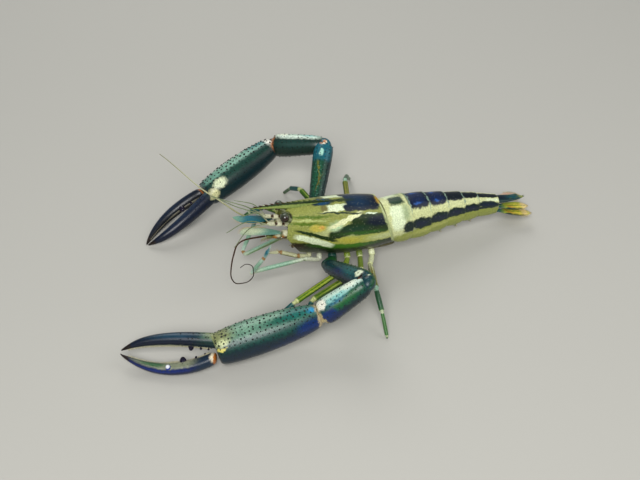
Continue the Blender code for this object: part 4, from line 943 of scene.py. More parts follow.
for (limb, name), steps in WALKING_STEPS.items():
    joints = limb_joints(limb, SIDES[name], steps)
    lengths = [(far - near).length for near, far in zip(joints, joints[1:])]
    root_tone, merus_tone, carpus_tone, foot_tone, highlight_tone, knee_tone = LEG_COLOURS[limb]
    merus_start, merus_end = lengths[0] + lengths[1], lengths[0] + lengths[1] + lengths[2]
    upper_finish = cuticle("%s_upper_shell" % limb, merus_tone, (
        band(root_tone, 8, merus_start + 6, 0.4),
        (DARK_GREEN, merus_start + 0.45 * lengths[2], 120, 0.45 * lengths[2], 60, 0, 0.5),
        # A painted highlight along the upper side of the merus.
        (highlight_tone, merus_start + 0.5 * lengths[2], 28, 0.45 * lengths[2], 17, 0, 0.6),
        band(knee_tone, merus_end, 1.5, 0.4), band("C8CC96", lengths[0], 0.6, 0.5),
        band("C8CC96", merus_start, 0.6, 0.5)), arc=0.035, ragged=2.0, drift=0.7)
    upper = limb_piece("%s_%s_thigh" % (limb, name), joints, 0, 3, THIGH_PROFILES, 12)
    dress(upper, "walking_leg", upper_finish, "%s_%s_upper" % (limb, name))
    lower_finish = cuticle("%s_lower_shell" % limb, carpus_tone, (
        band(foot_tone, lengths[3] + 8, 9, 0.4), band(knee_tone, 0, 1.3, 0.4),
        band("B4C09A", lengths[3], 0.8, 0.4), band("A8B48A", lengths[3] + lengths[4], 0.6, 0.4),
        band(BROWN, sum(lengths[3:]), 3.4, 0.4)), arc=0.03, ragged=1.5, drift=0.7)
    ankle, foot = joints[5:]
    joints[6] = ankle.lerp(foot, (ankle.z - TOE_HEIGHT) / (ankle.z - foot.z))
    lower = limb_piece("%s_%s_shank" % (limb, name), joints, 3, 6, SHANK_PROFILES, 12)
    rest_on_floor(lower)
    dress(lower, "walking_leg", lower_finish, "%s_%s_lower" % (limb, name))
print("walking legs:", len(WALKING_STEPS), "with", len(upper.data.polygons), "faces in a thigh")

# %% First legs, folded at the mouth
LEG_1_STEPS = {
    "L": ((13.0, 12, 30), (35.0, -11, -11), (3.0, 60, 30), (17.0, 158, 58), (12.0, 166, 66)),
    "R": ((13.0, 12, 22), (33.0, -2, -14), (3.0, 70, 20), (17.0, 150, 52), (12.0, 158, 60)),
}
FIRST_LEG_PROFILES = (tube_profile(1.5, 1.85, 1.2, 0.88), tube_profile(1.2, 1.6, 1.25),
                      tube_profile(1.25, 1.55, 1.15), tube_profile(1.1, 1.25, 1.1))
FIRST_HAND_PROFILES = (tube_profile(1.05, 1.45, 1.1), (
    (0.02, 1.0, 0.9), (0.1, 1.35, 1.15), (0.25, 1.6, 1.4), (0.5, 1.6, 1.35), (0.6, 1.2, 1.1)))
FINGERS_START = 0.55          # where the fingers leave the small hand
first_leg_finish = cuticle("pale_first_leg_shell", "C9CDB2", (
    band(PALE_TEAL, 36, 14, 0.6), ("6E8A5A", 30, 120, 20, 50, 0, 0.5), band("9A7444", 52.5, 1.2, 0.4)),
    arc=0.03, drift=0.8)
first_hand_finish = cuticle("pale_teal_hand_shell", "B4CDBB", (
    band(PALE_TEAL, 9, 5, 0.6), band("9A7444", 17, 1.0, 0.4), (TEAL, 23, 60, 4, 60, 0, 0.7)),
    arc=0.03, drift=0.7)
for name, side in SIDES.items():
    joints = limb_joints("leg_1", side, LEG_1_STEPS[name])
    upper = limb_piece("first_leg_" + name, joints, 0, 4, FIRST_LEG_PROFILES, 12)
    dress(upper, "small_leg", first_leg_finish, "leg_1_%s_upper" % name)
    lower = limb_piece("first_hand_" + name, joints, 4, 6, FIRST_HAND_PROFILES, 12)
    fingers = begin("first_fingers_" + name)
    direction = (joints[6] - joints[5]).normalized()
    across = direction.cross(square_to(direction, SKY))
    for sign in (-1, 1):
        root = joints[5].lerp(joints[6], FINGERS_START) + across * sign * 0.55
        tip = joints[6] + across * sign * 0.1
        bowed = root.lerp(tip, 0.5) + across * sign * 0.35
        add_whip(fingers, [root, bowed, tip], 0.62, 0.22, 8, 24.0)
    complete(fingers, 2)
    dress(lower, "small_leg", first_hand_finish, "leg_1_%s_lower" % name)
    dress(fingers, "small_leg", first_hand_finish)

# %% Mouth legs
MAXILLIPED_STEPS = ((8.5, 2, 22), (13.0, -8, 27), (8.0, -6, 8))
MOUTH_LEG_PROFILES = (tube_profile(1.5, 1.85, 1.3, 0.88), tube_profile(1.3, 1.85, 1.4, 0.8),
                      tube_profile(1.4, 1.6, 1.1, 0.8),
                      ((0.02, 1.0, 0.8), (0.3, 1.2, 1.0), (0.8, 0.8, 0.7), (1.0, 0.35, 0.35)))
MOUTH_HAIRS, HINGE_SHARE = 90, 0.6      # and which share of them grows before the last hinge
mouth_finish = cuticle("pale_mouth_leg_shell", "BDBE96", (
    band("9A7444", 11.5, 1.0, 0.5), band("9A7444", 24.5, 1.0, 0.5), ("6E6A3A", 18, 100, 7, 50, 0, 0.6)),
    arc=0.03, drift=0.7)
for name, side in SIDES.items():
    joints = limb_joints("maxilliped", side, MAXILLIPED_STEPS)
    mouth_leg = limb_piece("mouth_leg_" + name, joints, 0, 4, MOUTH_LEG_PROFILES, 12)
    dress(mouth_leg, "small_leg", mouth_finish, "maxilliped_" + name)
    hairs = []
    spread = random.Random(7 + side)
    for number in range(MOUTH_HAIRS):
        share = number / (MOUTH_HAIRS - 1)
        if share < HINGE_SHARE:
            start, end, reach = joints[2], joints[3], share / HINGE_SHARE
        else:
            start, end, reach = joints[3], joints[4], (share - HINGE_SHARE) / (1.0 - HINGE_SHARE)
        along = (end - start).normalized()
        inner = -ACROSS * side * spread.uniform(0.5, 1.0) + UPWARD * spread.uniform(-0.7, 0.5) + along * 0.4
        hairs.append(aim(world(start.lerp(end, reach)), inner, SKY, 1.0, 1.0, spread.uniform(2.2, 3.2)))
    tuft = repeated("mouth_leg_setae_" + name, hair, hairs)
    dress(tuft, "small_leg", fringe_finish)

# %% [markdown]
# ## The big claws
# The second pair of legs gives the animal its name. They are long, swollen arms with
# rows of small tubercles, ending in a palm, a fixed finger and a finger that closes.
# Palm and fixed finger are one shell, so two lofted tubes are melted into one by a
# voxel Remesh and smoothed, which gives the soft fork that a Boolean can't.

# %% Arms
CHELIPED_STEPS = {
    "L": ((15.5, 50, 31), (47.0, 106, 25), (35.5, -4, -33.5), (67.0, -3.4, -9.05)),
    "R": ((19.0, 98, 26), (52.0, 118, 21), (38.5, 35, -12), (62.0, -18, -14.5)),
}
DARK_TEAL, PALM_PALE, BRIGHT_BLUE, FINGER_NAVY, TIP_BROWN = "06242A", "587F6A", "06285E", "061228", "1C100A"
RAY_START = 30.0              # rays for the tubercles start this far outside
FLOOR_CLEARANCE = 0.9         # and none grows nearer to the floor than this
STUD_LEAN = 0.5               # how much they lean towards the tip
stud = little_model("stud", ((-0.3, 0.62), (0.05, 0.6), (0.3, 0.42), (0.5, 0.12)), 8, 0)
stud_finish = cuticle("dark_tubercles", "0A1410", drift=0.5, roughness=0.25)


def studded(name, piece, start, end, upward, rows, spacing, size, seed):
    """Rows of tubercles that sit on a piece's skin and lean towards its tip."""
    bpy.context.view_layer.update()
    along = (end - start).normalized()
    lift = square_to(along, upward)
    positive = lift.cross(along)
    length = (end - start).length
    jitter = random.Random(seed)
    places = []
    for turn, begin_share, end_share, row_size in rows:
        count = max(2, int((end_share - begin_share) * length / spacing))
        for number in range(count):
            step = number + jitter.uniform(-0.3, 0.3)
            share = begin_share + (end_share - begin_share) * step / (count - 1)
            angle = math.radians(turn + jitter.uniform(-3.0, 3.0))
            outward = lift * math.cos(angle) + positive * math.sin(angle)
            outside = world(start + along * length * share + outward * RAY_START)
            hit, place, normal = piece.ray_cast(outside, -outward)[:3]
            if hit and place.z > FLOOR_CLEARANCE * MM:
                scale = size * row_size * jitter.uniform(0.75, 1.2)
                upright = lift if abs(normal.dot(lift)) < 0.9 else along
                places.append(aim(place, normal + along * STUD_LEAN, upright, scale, scale, scale))
    return repeated(name, stud, places)


ARM_ROOT_PROFILES = (tube_profile(2.6, 3.1, 2.9, 0.9), tube_profile(2.9, 3.8, 3.4))
ARM_ROWS = [(turn, 0.1, 0.95, 1.0) for turn in (-150, -112, -78, -48, -20, 8, 36, 66, 100, 140)]
ARM_STUD_SPACING, ARM_STUD_SIZE = 3.1, 0.72
ARM_GIRTH = {
    "merus": ((0.01, 3.0), (0.03, 4.0), (0.1, 4.9), (0.4, 6.0), (0.75, 7.1), (0.9, 7.1), (0.97, 6.6),
              (0.995, 4.8)),
    "carpus": ((0.01, 4.4), (0.05, 5.8), (0.14, 6.9), (0.45, 7.7), (0.8, 8.6), (0.92, 8.4), (0.975, 7.2),
               (0.995, 5.4)),
}
ischium_finish = cuticle("teal_green_arm_root_shell", "143C34", (
    ("1F5A2A", 14, 20, 8, 40, 0, 0.7), (DARK_TEAL, 14, 130, 12, 60, 0, 0.5)), arc=0.06, drift=1.2)
arm_finish = {
    "merus_L": cuticle("left_arm_shell", "0C363C", (
        ("24541A", 26, 46, 24, 24, 0, 0.5), ("1C2450", 24, -50, 9, 30, 20, 0.8),
        ("081C34", 28, -100, 26, 40, 0, 0.5), ("165458", 34, -20, 9, 30, 0, 0.8),
        ("DCE6C4", 42.5, -14, 2.6, 24, 0, 0.3), ("120C0A", 45.2, -30, 1.2, 26, 0, 0.4),
        (ORANGE, 46.4, -64, 1.4, 22, 0, 0.5)),
        arc=0.11, ragged=2.6, drift=1.8, mirror=False, flecks=("4F9890", 1.6, 0.22, 0.4)),
    "merus_R": cuticle("right_arm_shell", "0C2E28", (
        ("164E34", 24, 10, 20, 40, 0, 0.7), ("6A6A22", 28, 4, 9, 5, 10, 0.8),
        ("5E5416", 18, -4, 6, 4, -15, 0.8),
        band("0C5E6C", 46, 8, 0.35), ("A8DCC8", 43, 4, 2.2, 11, 0, 0.5), (DARK_TEAL, 22, -90, 26, 40, 0, 0.5),
        ("C07A50", 51, 8, 1.6, 18, 0, 0.5), ("E8DCC0", 50, 0, 1.2, 8, 0, 0.5)),
        arc=0.11, ragged=2.6, drift=1.8, mirror=False, flecks=("8AC0B0", 1.6, 0.24, 0.4)),
    "carpus_L": cuticle("left_wrist_shell", "10463A", (
        ("08222A", 18, 108, 24, 36, 0, 0.3, "box"), ("185C2C", 16, 44, 12, 22, 0, 0.6),
        ("C4E0CE", 16, -16, 15, 34, 0, 0.25, "box"), ("84C0BA", 20, 12, 10, 12, 0, 0.8),
        ("E9F2DE", 9, -18, 5, 22, 0, 0.6), ("166278", 21, 30, 7, 8, 0, 0.7),
        (BRIGHT_BLUE, 30, 62, 6, 24, 0, 0.4), ("071E4C", 28, 92, 8, 18, 0, 0.6),
        ("F0EEDC", 31.5, 2, 3.2, 26, 0, 0.3), ("C0B080", 35.2, 40, 1.8, EVERYWHERE, 0, 0.4)),
        arc=0.13, ragged=2.4, drift=1.8, mirror=False, flecks=("0C2A32", 1.7, 0.27, 0.6)),
    "carpus_R": cuticle("right_wrist_shell", "0C2820", (
        ("103C34", 20, 46, 16, 20, 0, 0.8), ("C9DECA", 19, -22, 17, 38, 0, 0.22, "box"),
        ("EAF0D8", 31, -28, 5, 26, 0, 0.5), ("8FC4BC", 10, -26, 6, 24, 0, 0.8),
        ("A06030", 37.6, 20, 1.6, 40, 0, 0.5)),
        arc=0.13, ragged=2.4, drift=1.8, mirror=False, flecks=("0C2A32", 1.7, 0.28, 0.65)),
}
CLAW_JOINTS = {}
for name, side in SIDES.items():
    joints = CLAW_JOINTS[name] = limb_joints("cheliped", side, CHELIPED_STEPS[name])
    root = limb_piece("arm_root_" + name, joints, 0, 2, ARM_ROOT_PROFILES, 16)
    dress(root, "claw_arm", ischium_finish, "cheliped_%s_ischium" % name)
    for number, segment in enumerate(("merus", "carpus")):
        word, first = "%s_%s" % (segment, name), 2 + number
        profile = [(share, radius, radius) for share, radius in ARM_GIRTH[segment]]
        arm = limb_piece(word, joints, first, first + 1, [profile], 20)
        dress(arm, "claw_arm", arm_finish[word], "cheliped_%s_%s" % (name, segment))
        arm_studs = studded("%s_studs_%s" % (segment, name), arm, joints[first], joints[first + 1], SKY,
                            ARM_ROWS, ARM_STUD_SPACING, ARM_STUD_SIZE, seed=11 + number)
        dress(arm_studs, "claw_arm", stud_finish)
        print(segment, name, "tubercles:", len(arm_studs.data.polygons) // len(stud.data.polygons))

# %% Palm and fingers
CLAW_BEND = {"L": (-16.4, 6.3), "R": (-2.0, -3.6)}
FINGER_SCALE = {"L": 1.0, "R": 0.93}
CLAW_ROLL = {"L": 38.0, "R": 10.0}
PALM_GIRTH = ((0.0, 6.0, 5.6), (0.04, 7.4, 6.9), (0.1, 8.8, 8.2), (0.3, 10.9, 9.9), (0.62, 12.1, 10.7),
              (0.88, 11.3, 9.7), (0.97, 10.4, 9.0), (1.0, 9.0, 8.0))
FIXED_FINGER = ((-9.0, -4.6, 4.6, 5.4), (2.0, -5.6, 5.0, 5.4), (14.0, -6.8, 4.6, 4.9),
                (28.0, -7.6, 4.2, 4.4), (42.0, -6.8, 3.3, 3.5), (50.0, -5.0, 2.3, 2.5),
                (56.0, -2.4, 1.1, 1.2), (58.5, -1.2, 0.5, 0.5))
DACTYL = ((-0.5, 4.8, 2.6, 3.4), (1.0, 5.2, 3.9, 4.7), (3.5, 5.9, 4.4, 5.0), (9.0, 8.2, 4.3, 4.7),
          (20.0, 10.6, 4.1, 4.4), (32.0, 10.9, 3.7, 3.9), (43.0, 8.6, 3.0, 3.2), (51.0, 5.2, 2.1, 2.3),
          (56.5, 2.2, 1.0, 1.1), (58.6, 0.5, 0.35, 0.35))
FIXED_TEETH = ((15.0, 2.6, 2.2), (9.0, 1.5, 1.3), (4.5, 1.2, 1.1))
DACTYL_TEETH = ((20.0, 3.1, 2.7), (12.0, 1.5, 1.3), (6.5, 1.2, 1.1))


def claw_axes(name, palm_direction):
    """Along, open and thick directions of a claw's fingers."""
    roll = math.radians(CLAW_ROLL[name])
    bearing, rise = [step + bend for step, bend in zip(CHELIPED_STEPS[name][3][1:], CLAW_BEND[name])]
    along = heading(bearing, rise, SIDES[name])
    wide = square_to(along, ACROSS * SIDES[name] * math.cos(roll) - SKY * math.sin(roll))
    return along, wide, square_to(palm_direction, wide)


def add_finger(piece, base, along, wide, stations, size):
    """Add a finger, bowed away from its partner."""
    first = len(MARKS)
    for distance, offset, half_width, half_thickness in stations:
        add_ring(base + along * distance * size + wide * offset, wide, along.cross(wide), half_width,
                 half_thickness, 16, distance)
    skin(piece, 16, first)


def chart_claw(piece, base, palm_direction, along, wide, stations, size, visible, top_edge, knuckle):
    """Measure round the palm, and past the knuckle round the bowed finger."""
    offsets = column(stations, 1)
    reach, angles = [], []
    for corner in piece.data.vertices:
        offset = corner.co / MM - STAND - base
        if knuckle and offset.dot(palm_direction) < 0.0:
            reach.append(knuckle + offset.dot(palm_direction))
        else:
            reach.append(knuckle + offset.dot(along))
            offset = offset - wide * between(offsets, offset.dot(along) / size)
            offset = offset - along * offset.dot(along)
        angles.append(math.degrees(math.atan2(offset.dot(top_edge), offset.dot(visible))))
    write_chart(piece, reach, angles)

# %% Teeth of the cutting edges
# Each finger has one big blunt tooth and two small ones nearer the hinge, then a low
# pale ridge with fine teeth out to the tip.
RIDGE_START, RIDGE_LENGTH, RIDGE_POINTS = 3.0, 51.5, 15
FINE_START, FINE_LENGTH, FINE_TEETH = 24.0, 29.0, 20
BIG_SINK, RIDGE_SINK, FINE_SINK = 0.5, 0.35, -0.2
RIDGE_RADII, FINE_TOOTH = (1.15, 0.5), (0.5, 0.7, 0.8)      # width, depth and length of a fine tooth
CUSP_SINK = 0.6
cusp = little_model("cusp", ((-CUSP_SINK, 1.0), (0.0, 0.95), (0.45, 0.8), (0.8, 0.5), (0.95, 0.2)), 12, 1)
big_tooth_finish = cuticle("dark_claw_teeth", "141026", drift=0.5, roughness=0.25)
ridge_finish = {"L": cuticle("pale_cutting_edge", "A9A486", drift=0.5, roughness=0.4),
                "R": cuticle("grey_cutting_edge", "5A5646", drift=0.5, roughness=0.4)}


def inner_edge(base, along, wide, stations, size, distance, inward, sink):
    """A point on a finger's cutting edge, sunk a little into it."""
    offset, half_width = between(column(stations, 1), distance), between(column(stations, 2), distance)
    return base + along * distance * size + wide * (offset + inward * (half_width - sink))


def cutting_edge(word, name, base, along, wide, stations, size, teeth, inward):
    """The big teeth, the ridge and the fine teeth of one finger."""
    edge_point = partial(inner_edge, base, along, wide, stations, size)
    places = [aim(world(edge_point(distance, inward, BIG_SINK)), wide * inward + along * 0.15, along,
                  half_width, half_width, height + CUSP_SINK) for distance, height, half_width in teeth]
    big = repeated("%s_finger_teeth_%s" % (word, name), cusp, places)
    dress(big, "claw_finger", big_tooth_finish)
    ridge = begin("%s_finger_ridge_%s" % (word, name))
    route = [edge_point(RIDGE_START + RIDGE_LENGTH * k / (RIDGE_POINTS - 1), inward, RIDGE_SINK)
             for k in range(RIDGE_POINTS)]
    add_whip(ridge, route, *RIDGE_RADII, 8, 0.0)
    complete(ridge, 1)
    dress(ridge, "claw_finger", ridge_finish[name])
    places = [aim(world(edge_point(FINE_START + FINE_LENGTH * k / (FINE_TEETH - 1), inward, FINE_SINK)),
                  wide * inward, along, *FINE_TOOTH) for k in range(FINE_TEETH)]
    fine = repeated("%s_finger_fine_teeth_%s" % (word, name), cusp, places)
    dress(fine, "claw_finger", ridge_finish[name])

# %% Build and paint both claws
palm_finish = {
    "L": cuticle("left_palm_shell", "0A2A28", (
        ("12463C", 30, -6, 34, 24, 0, 0.5), (PALM_PALE, 38, 47, 37, 42, 0, 0.22, "box"),
        # The lighter patch in the middle of the pale box is a painted highlight.
        ("789E86", 38, 50, 20, 24, 0, 0.8), ("155A4A", 22, 26, 14, 18, 0, 0.8),
        ("12625A", 13, 44, 9, 26, 0, 0.7), ("7E8458", 64, 50, 9, 40, 0, 0.6),
        ("0A2030", 44, -70, 40, 40, 0, 0.5), (BRIGHT_BLUE, 8, -38, 9, 34, 0, 0.5),
        ("062044", 18, -76, 16, 28, 0, 0.6), ("2488B4", 4.4, 36, 3.0, 15, 0, 0.5),
        ("C2C894", 62, 16, 4, 12, 0, 0.6), ("D0C464", 63.5, -8, 2.8, 8, 0, 0.3),
        band(FINGER_NAVY, 106, 28, 0.18, "box"),
        ("123A4E", 92, 34, 14, 30, 0, 0.8), ("7E826C", 92, -74, 22, 16, 0, 0.5),
        band(TIP_BROWN, 124, 5, 0.3), band("B8A884", 0.8, 2.2, 0.4)),
        arc=0.17, ragged=2.4, drift=2.2, mottle=0.4, mirror=False, flecks=("0A2420", 2.1, 0.26, 0.75)),
    "R": cuticle("right_palm_shell", "0A221C", (
        ("103C32", 34, -36, 34, 26, 0, 0.6), ("6A9C86", 32, 22, 34, 48, 0, 0.16, "box"),
        ("94BEA8", 30, 24, 22, 22, 0, 0.8), ("2E7A7C", 10, 30, 10, 40, 0, 0.7),
        (DARK_TEAL, 34, -110, 40, 40, 0, 0.5), ("D8E0B8", 51, -52, 5, 20, 0, 0.35),
        ("D2D09A", 59, -74, 4, 22, 0, 0.3), ("F0F0E0", 2.5, 10, 3.4, 60, 0, 0.4),
        ("A06030", 2, -60, 2.4, 30, 0, 0.5), band(FINGER_NAVY, 94, 32, 0.16, "box"),
        # The lighter blue patch on top of the fixed finger is a painted sheen.
        ("0A2440", 80, 20, 20, 40, 0, 0.8), band(TIP_BROWN, 115, 4, 0.3)),
        arc=0.17, ragged=2.4, drift=2.0, mottle=0.4, mirror=False),
}
dactyl_finish = {
    "L": cuticle("left_moving_finger_shell", "081640", (
        ("7A8068", 27, 42, 24, 38, 0, 0.35), ("2A5A34", 38, 46, 8, 22, 0, 0.7),
        ("9A9C80", 18, 66, 12, 16, 0, 0.6), ("0C2468", 34, -20, 22, 16, 0, 0.8), band("10263A", 5, 8, 0.6),
        ("E6D8B8", 1.4, 30, 1.8, 50, 0, 0.5), band("B0682A", 0.2, 1.0, 0.5), band(TIP_BROWN, 58, 5, 0.3)),
        arc=0.07, ragged=2.0, drift=1.4, mirror=False),
    "R": cuticle("right_moving_finger_shell", "040B16", (
        # The lighter blue patch on top of the moving finger is a painted sheen.
        ("081E38", 26, 20, 22, 50, 0, 0.8), ("4A4638", 30, 90, 20, 14, 0, 0.5), band("A06030", 0.2, 1.2, 0.4),
        band(TIP_BROWN, 54, 5, 0.3)), arc=0.07, ragged=2.0, drift=1.4, mirror=False),
}
# The white band round the tubercle's tip is a painted highlight.
blue_finish = cuticle("blue_tubercle", "1030A0", (band("F2F4FA", 2.0, 0.9, 0.4),), drift=0.2)
PALM_ROWS = {
    "L": ((-70, 0.6), (-45, 0.6), (-22, 0.7), (-4, 1.0), (10, 1.15), (24, 1.2), (38, 1.25), (52, 1.25),
          (66, 1.2), (82, 1.1), (100, 1.0), (130, 0.8)),
    "R": ((-110, 0.6), (-75, 0.7), (-48, 0.8), (-26, 1.2), (-8, 1.5), (10, 1.6), (28, 1.6), (46, 1.5),
          (66, 1.3), (92, 1.0), (130, 0.8)),
}
PALM_ROW_START, PALM_ROW_END = {"L": 0.1, "R": 0.06}, 0.97
FIXED_ROWS = [(turn, 0.02, 0.34, 0.9) for turn in (-60, -20, 20, 60, 100)]
MOVING_ROWS = [(turn, 0.02, 0.7, 0.5) for turn in (-60, -20, 20, 60, 100)]
PALM_SPACING, FIXED_SPACING, MOVING_SPACING, STUD_SIZE = 3.1, 2.8, 2.9, 0.8
FIXED_STUDS_END, MOVING_STUDS_END = 56.0, 52.0
VOXEL, SMOOTHINGS = 0.55, 8
BLUE_PLACE, BLUE_INSET = 29.0, 1.4      # the blue tubercle's place along and inside the left finger
for name, side in SIDES.items():
    wrist, base = CLAW_JOINTS[name][4:]
    palm_direction = (base - wrist).normalized()
    along, wide, palm_wide = claw_axes(name, palm_direction)
    size = FINGER_SCALE[name]
    face = palm_direction.cross(palm_wide)
    palm = begin("palm_" + name)
    add_segment(palm, wrist, base, face, PALM_GIRTH, 20, 0.0)
    add_finger(palm, base, along, wide, FIXED_FINGER, size)
    complete(palm, 2)
    apply_modifier(palm, "REMESH", mode="VOXEL", voxel_size=VOXEL * MM, use_smooth_shade=True)
    apply_modifier(palm, "SMOOTH", factor=0.5, iterations=SMOOTHINGS)
    rest_on_floor(palm)
    visible = face if face.z > 0.0 else -face
    top_edge = -palm_wide if name == "L" else palm_wide
    chart_claw(palm, base, palm_direction, along, wide, FIXED_FINGER, size, visible, top_edge,
               (base - wrist).length)
    dress(palm, "claw_arm", palm_finish[name], "cheliped_%s_palm" % name)
    print("palm", name, "faces:", len(palm.data.polygons))
    turning = 1 if top_edge.dot(visible.cross(palm_direction)) > 0.0 else -1
    palm_rows = [(turning * turn, PALM_ROW_START[name], PALM_ROW_END, row_size)
                 for turn, row_size in PALM_ROWS[name]]
    knobs = studded("palm_studs_" + name, palm, wrist, base, visible, palm_rows, PALM_SPACING, STUD_SIZE,
                    seed=21 + side)
    dress(knobs, "claw_arm", stud_finish)
    tip = base + along * FIXED_STUDS_END * size
    knobs = studded("fixed_finger_studs_" + name, palm, base - palm_wide * 6.0, tip - wide * 5.0, visible,
                    FIXED_ROWS, FIXED_SPACING, STUD_SIZE, seed=31 + side)
    dress(knobs, "claw_arm", stud_finish)
    finger = begin("moving_finger_" + name)
    add_finger(finger, base, along, wide, DACTYL, size)
    complete(finger, 2)
    rest_on_floor(finger)
    chart_claw(finger, base, palm_direction, along, wide, DACTYL, size, visible, top_edge, 0.0)
    dress(finger, "claw_finger", dactyl_finish[name], "cheliped_%s_dactyl" % name)
    tip = base + along * MOVING_STUDS_END * size
    knobs = studded("moving_finger_studs_" + name, finger, base + wide * 7.0, tip + wide * 6.0, visible,
                    MOVING_ROWS, MOVING_SPACING, STUD_SIZE, seed=41 + side)
    dress(knobs, "claw_finger", stud_finish)
    cutting_edge("fixed", name, base, along, wide, FIXED_FINGER, size, FIXED_TEETH, 1.0)
    cutting_edge("moving", name, base, along, wide, DACTYL, size, DACTYL_TEETH, -1.0)
    if name == "L":
        middle = base + along * BLUE_PLACE + wide * (between(column(DACTYL, 1), BLUE_PLACE) - BLUE_INSET)
        place, normal = finger.ray_cast(world(middle + visible * RAY_START), -visible)[1:3]
        knob = repeated("blue_tubercle_L", cusp, [aim(place, normal, along, 1.8, 1.8, 2.4)])
        chart(knob, place / MM - STAND, normal, along, wide)
        dress(knob, "claw_finger", blue_finish)

# %% [markdown]
# ## The abdomen
# Six arched plates overlap like roof tiles, each covering the front of the next, so the
# tail can curl; the side lobes of the second plate also cover its neighbours, which is
# how a true shrimp is told from a prawn. Each plate is a lofted tube whose section is an
# outline placed corner by corner, because an arch with two hanging lobes isn't round.

# %% Six plates
ABDOMEN_START = Vector((-4.2, 0.0, 26.6))
ABDOMEN_LENGTHS = (14.5, 14, 14, 13, 12, 17)
ABDOMEN_SLOPES = (1.5, 3.5, 5, 7.5, 10.5, 14)
TELSON_SLOPE, TELSON_LENGTH = 10.0, 23.0
ABDOMEN_HALF_WIDTH = ((0, 14.6), (14.5, 14.0), (28.5, 12.6), (42.5, 10.7), (55.5, 9.1), (67.5, 7.8),
                      (84.5, 6.1))
ABDOMEN_TOP = ((0, 15.8), (14.5, 15.2), (28.5, 13.6), (42.5, 11.6), (55.5, 9.9), (67.5, 8.4), (84.5, 6.4))
ABDOMEN_BOTTOM = ((0, 13.6), (14.5, 13.8), (28.5, 13.4), (42.5, 12.0), (55.5, 10.3), (67.5, 8.2), (84.5, 6.2))
PLATE_STEPS = ((-0.07, 0.9), (-0.06, 0.935), (0.04, 0.962), (0.2, 0.985), (0.5, 1.0), (0.8, 1.02),
               (0.98, 1.028), (1.035, 1.026), (1.045, 0.995))
PLEURON = ((0.985, -0.42), (0.90, -0.80), (0.77, -1.0), (0.62, -0.84), (0.52, -0.60))
LOBE_REACH = (0.0, 2.6, 0.8, 0.8, 0.8, 0.0)       # how far a plate's side lobes reach over its neighbours
LOBE_SWEEP = (0.0, 0.0, 0.8, 1.2, 2.0, 0.6)       # and how far they trail
ARCH_POWER = 0.93                                 # under one makes the arch a little square
STERNUM_DEPTH = 0.66                              # how low the underside's middle hangs, of the lobes' depth
LOBE_ROUNDING = 0.13                              # how much shorter a lobe is at its ends


def plate_outline(along, scale):
    """A plate's section as (aside, above) pairs: an arch and two lobes."""
    half_width = between(ABDOMEN_HALF_WIDTH, along) * scale
    top, bottom = between(ABDOMEN_TOP, along) * scale, between(ABDOMEN_BOTTOM, along) * scale
    arch = [(half_width * math.copysign(abs(math.cos(angle)) ** ARCH_POWER, math.cos(angle)),
             top * math.sin(angle) ** ARCH_POWER) for angle in (math.pi * k / 12 for k in range(13))]
    left = [(-half_width * share, bottom * depth) for share, depth in PLEURON]
    return arch + left + [(0.0, -STERNUM_DEPTH * bottom)] + [(-aside, above) for aside, above in reversed(left)]


def slid(point, direction, plane):
    """Move a point along a direction on to a plane."""
    return point + direction * ((plane[0] - point).dot(plane[1]) / direction.dot(plane[1]))


plate_starts = [ABDOMEN_START]
for length, slope in zip(ABDOMEN_LENGTHS, ABDOMEN_SLOPES):
    plate_starts.append(plate_starts[-1] + heading(180.0, -slope, -1) * length)
line = plate_starts + [plate_starts[-1] + heading(180.0, -TELSON_SLOPE, -1) * TELSON_LENGTH]
line_headings = [(far - near).normalized() for near, far in zip(line, line[1:])]
borders = [sum(ABDOMEN_LENGTHS[:number]) for number in range(7)]
print("the abdomen ends at", tuple(round(value, 1) for value in line[6]))

# %% Paint for the plates
# Cream, with a dark block over the back of each plate and a dark oval on each flank: the
# cream left between them gives the saw-toothed stripe.
plate_patches = [("241E0C", 42, 162, 60, 24, 0, 0.3, "box"), ("8E9642", 48, 120, 52, 34, -4, 0.12, "box"),
                 ("A8AC5C", 30, 108, 20, 7, -4, 0.7), ("08201C", 51, 82, 35, 7, -4, 0.25, "box")]
DORSAL_REACH = (36, 35, 27, 21, 18)     # how far round each dark block on the back goes, degrees
FLANK_MIDDLE = (80, 77, 72, 66, 57)     # and where the dark oval of the flank has its middle
for number, reach, flank in zip(range(1, 6), DORSAL_REACH, FLANK_MIDDLE):
    middle = (borders[number] + borders[number + 1]) / 2.0
    half = (borders[number + 1] - borders[number]) / 2.0
    plate_patches.append(("08201C", middle, flank, half * 1.14, 19, 3, 0.16))
    plate_patches.append(("071830", middle - 0.5, flank + 1, half * 0.8, 9, 0, 0.7))
    plate_patches.append(("06121C", middle, 0, half * 1.1, reach, 0, 0.12, "box"))
    if number < 3:
        plate_patches.append(("051C44", middle, 12, half * 0.8, 16, 0, 0.6))
        # A painted highlight: a bright blue streak on the dark back of the second and third plates.
        plate_patches.append(("2558A4", middle - 1.0, 20, half * (0.5 - 0.15 * number), 3.6, 0, 0.9))
plate_patches += [(CREAM_WHITE, 4.5, 50, 4.8, 36, 0, 0.22, "box"), ("A4B486", 10.5, 40, 2.5, 22, 0, 0.6),
                  ("08201C", 11.8, 82, 4.4, 18, -14, 0.25), ("0E321C", 6.5, 0, 5.0, 15, 0, 0.25, "box"),
                  ("DDE8BE", 80, 30, 6, 8, 0, 0.6)]
for border in borders[1:6]:
    plate_patches.append(("7C9684", border + 0.3, 0, 0.4, 44, 0, 0.4, "box"))
abdomen_finish = cuticle("wet_abdomen_shell", "CDD298", plate_patches, arc=0.22, ragged=2.6, drift=1.9,
                         flecks=("C8D8B0", 1.6, 0.18, 0.2))

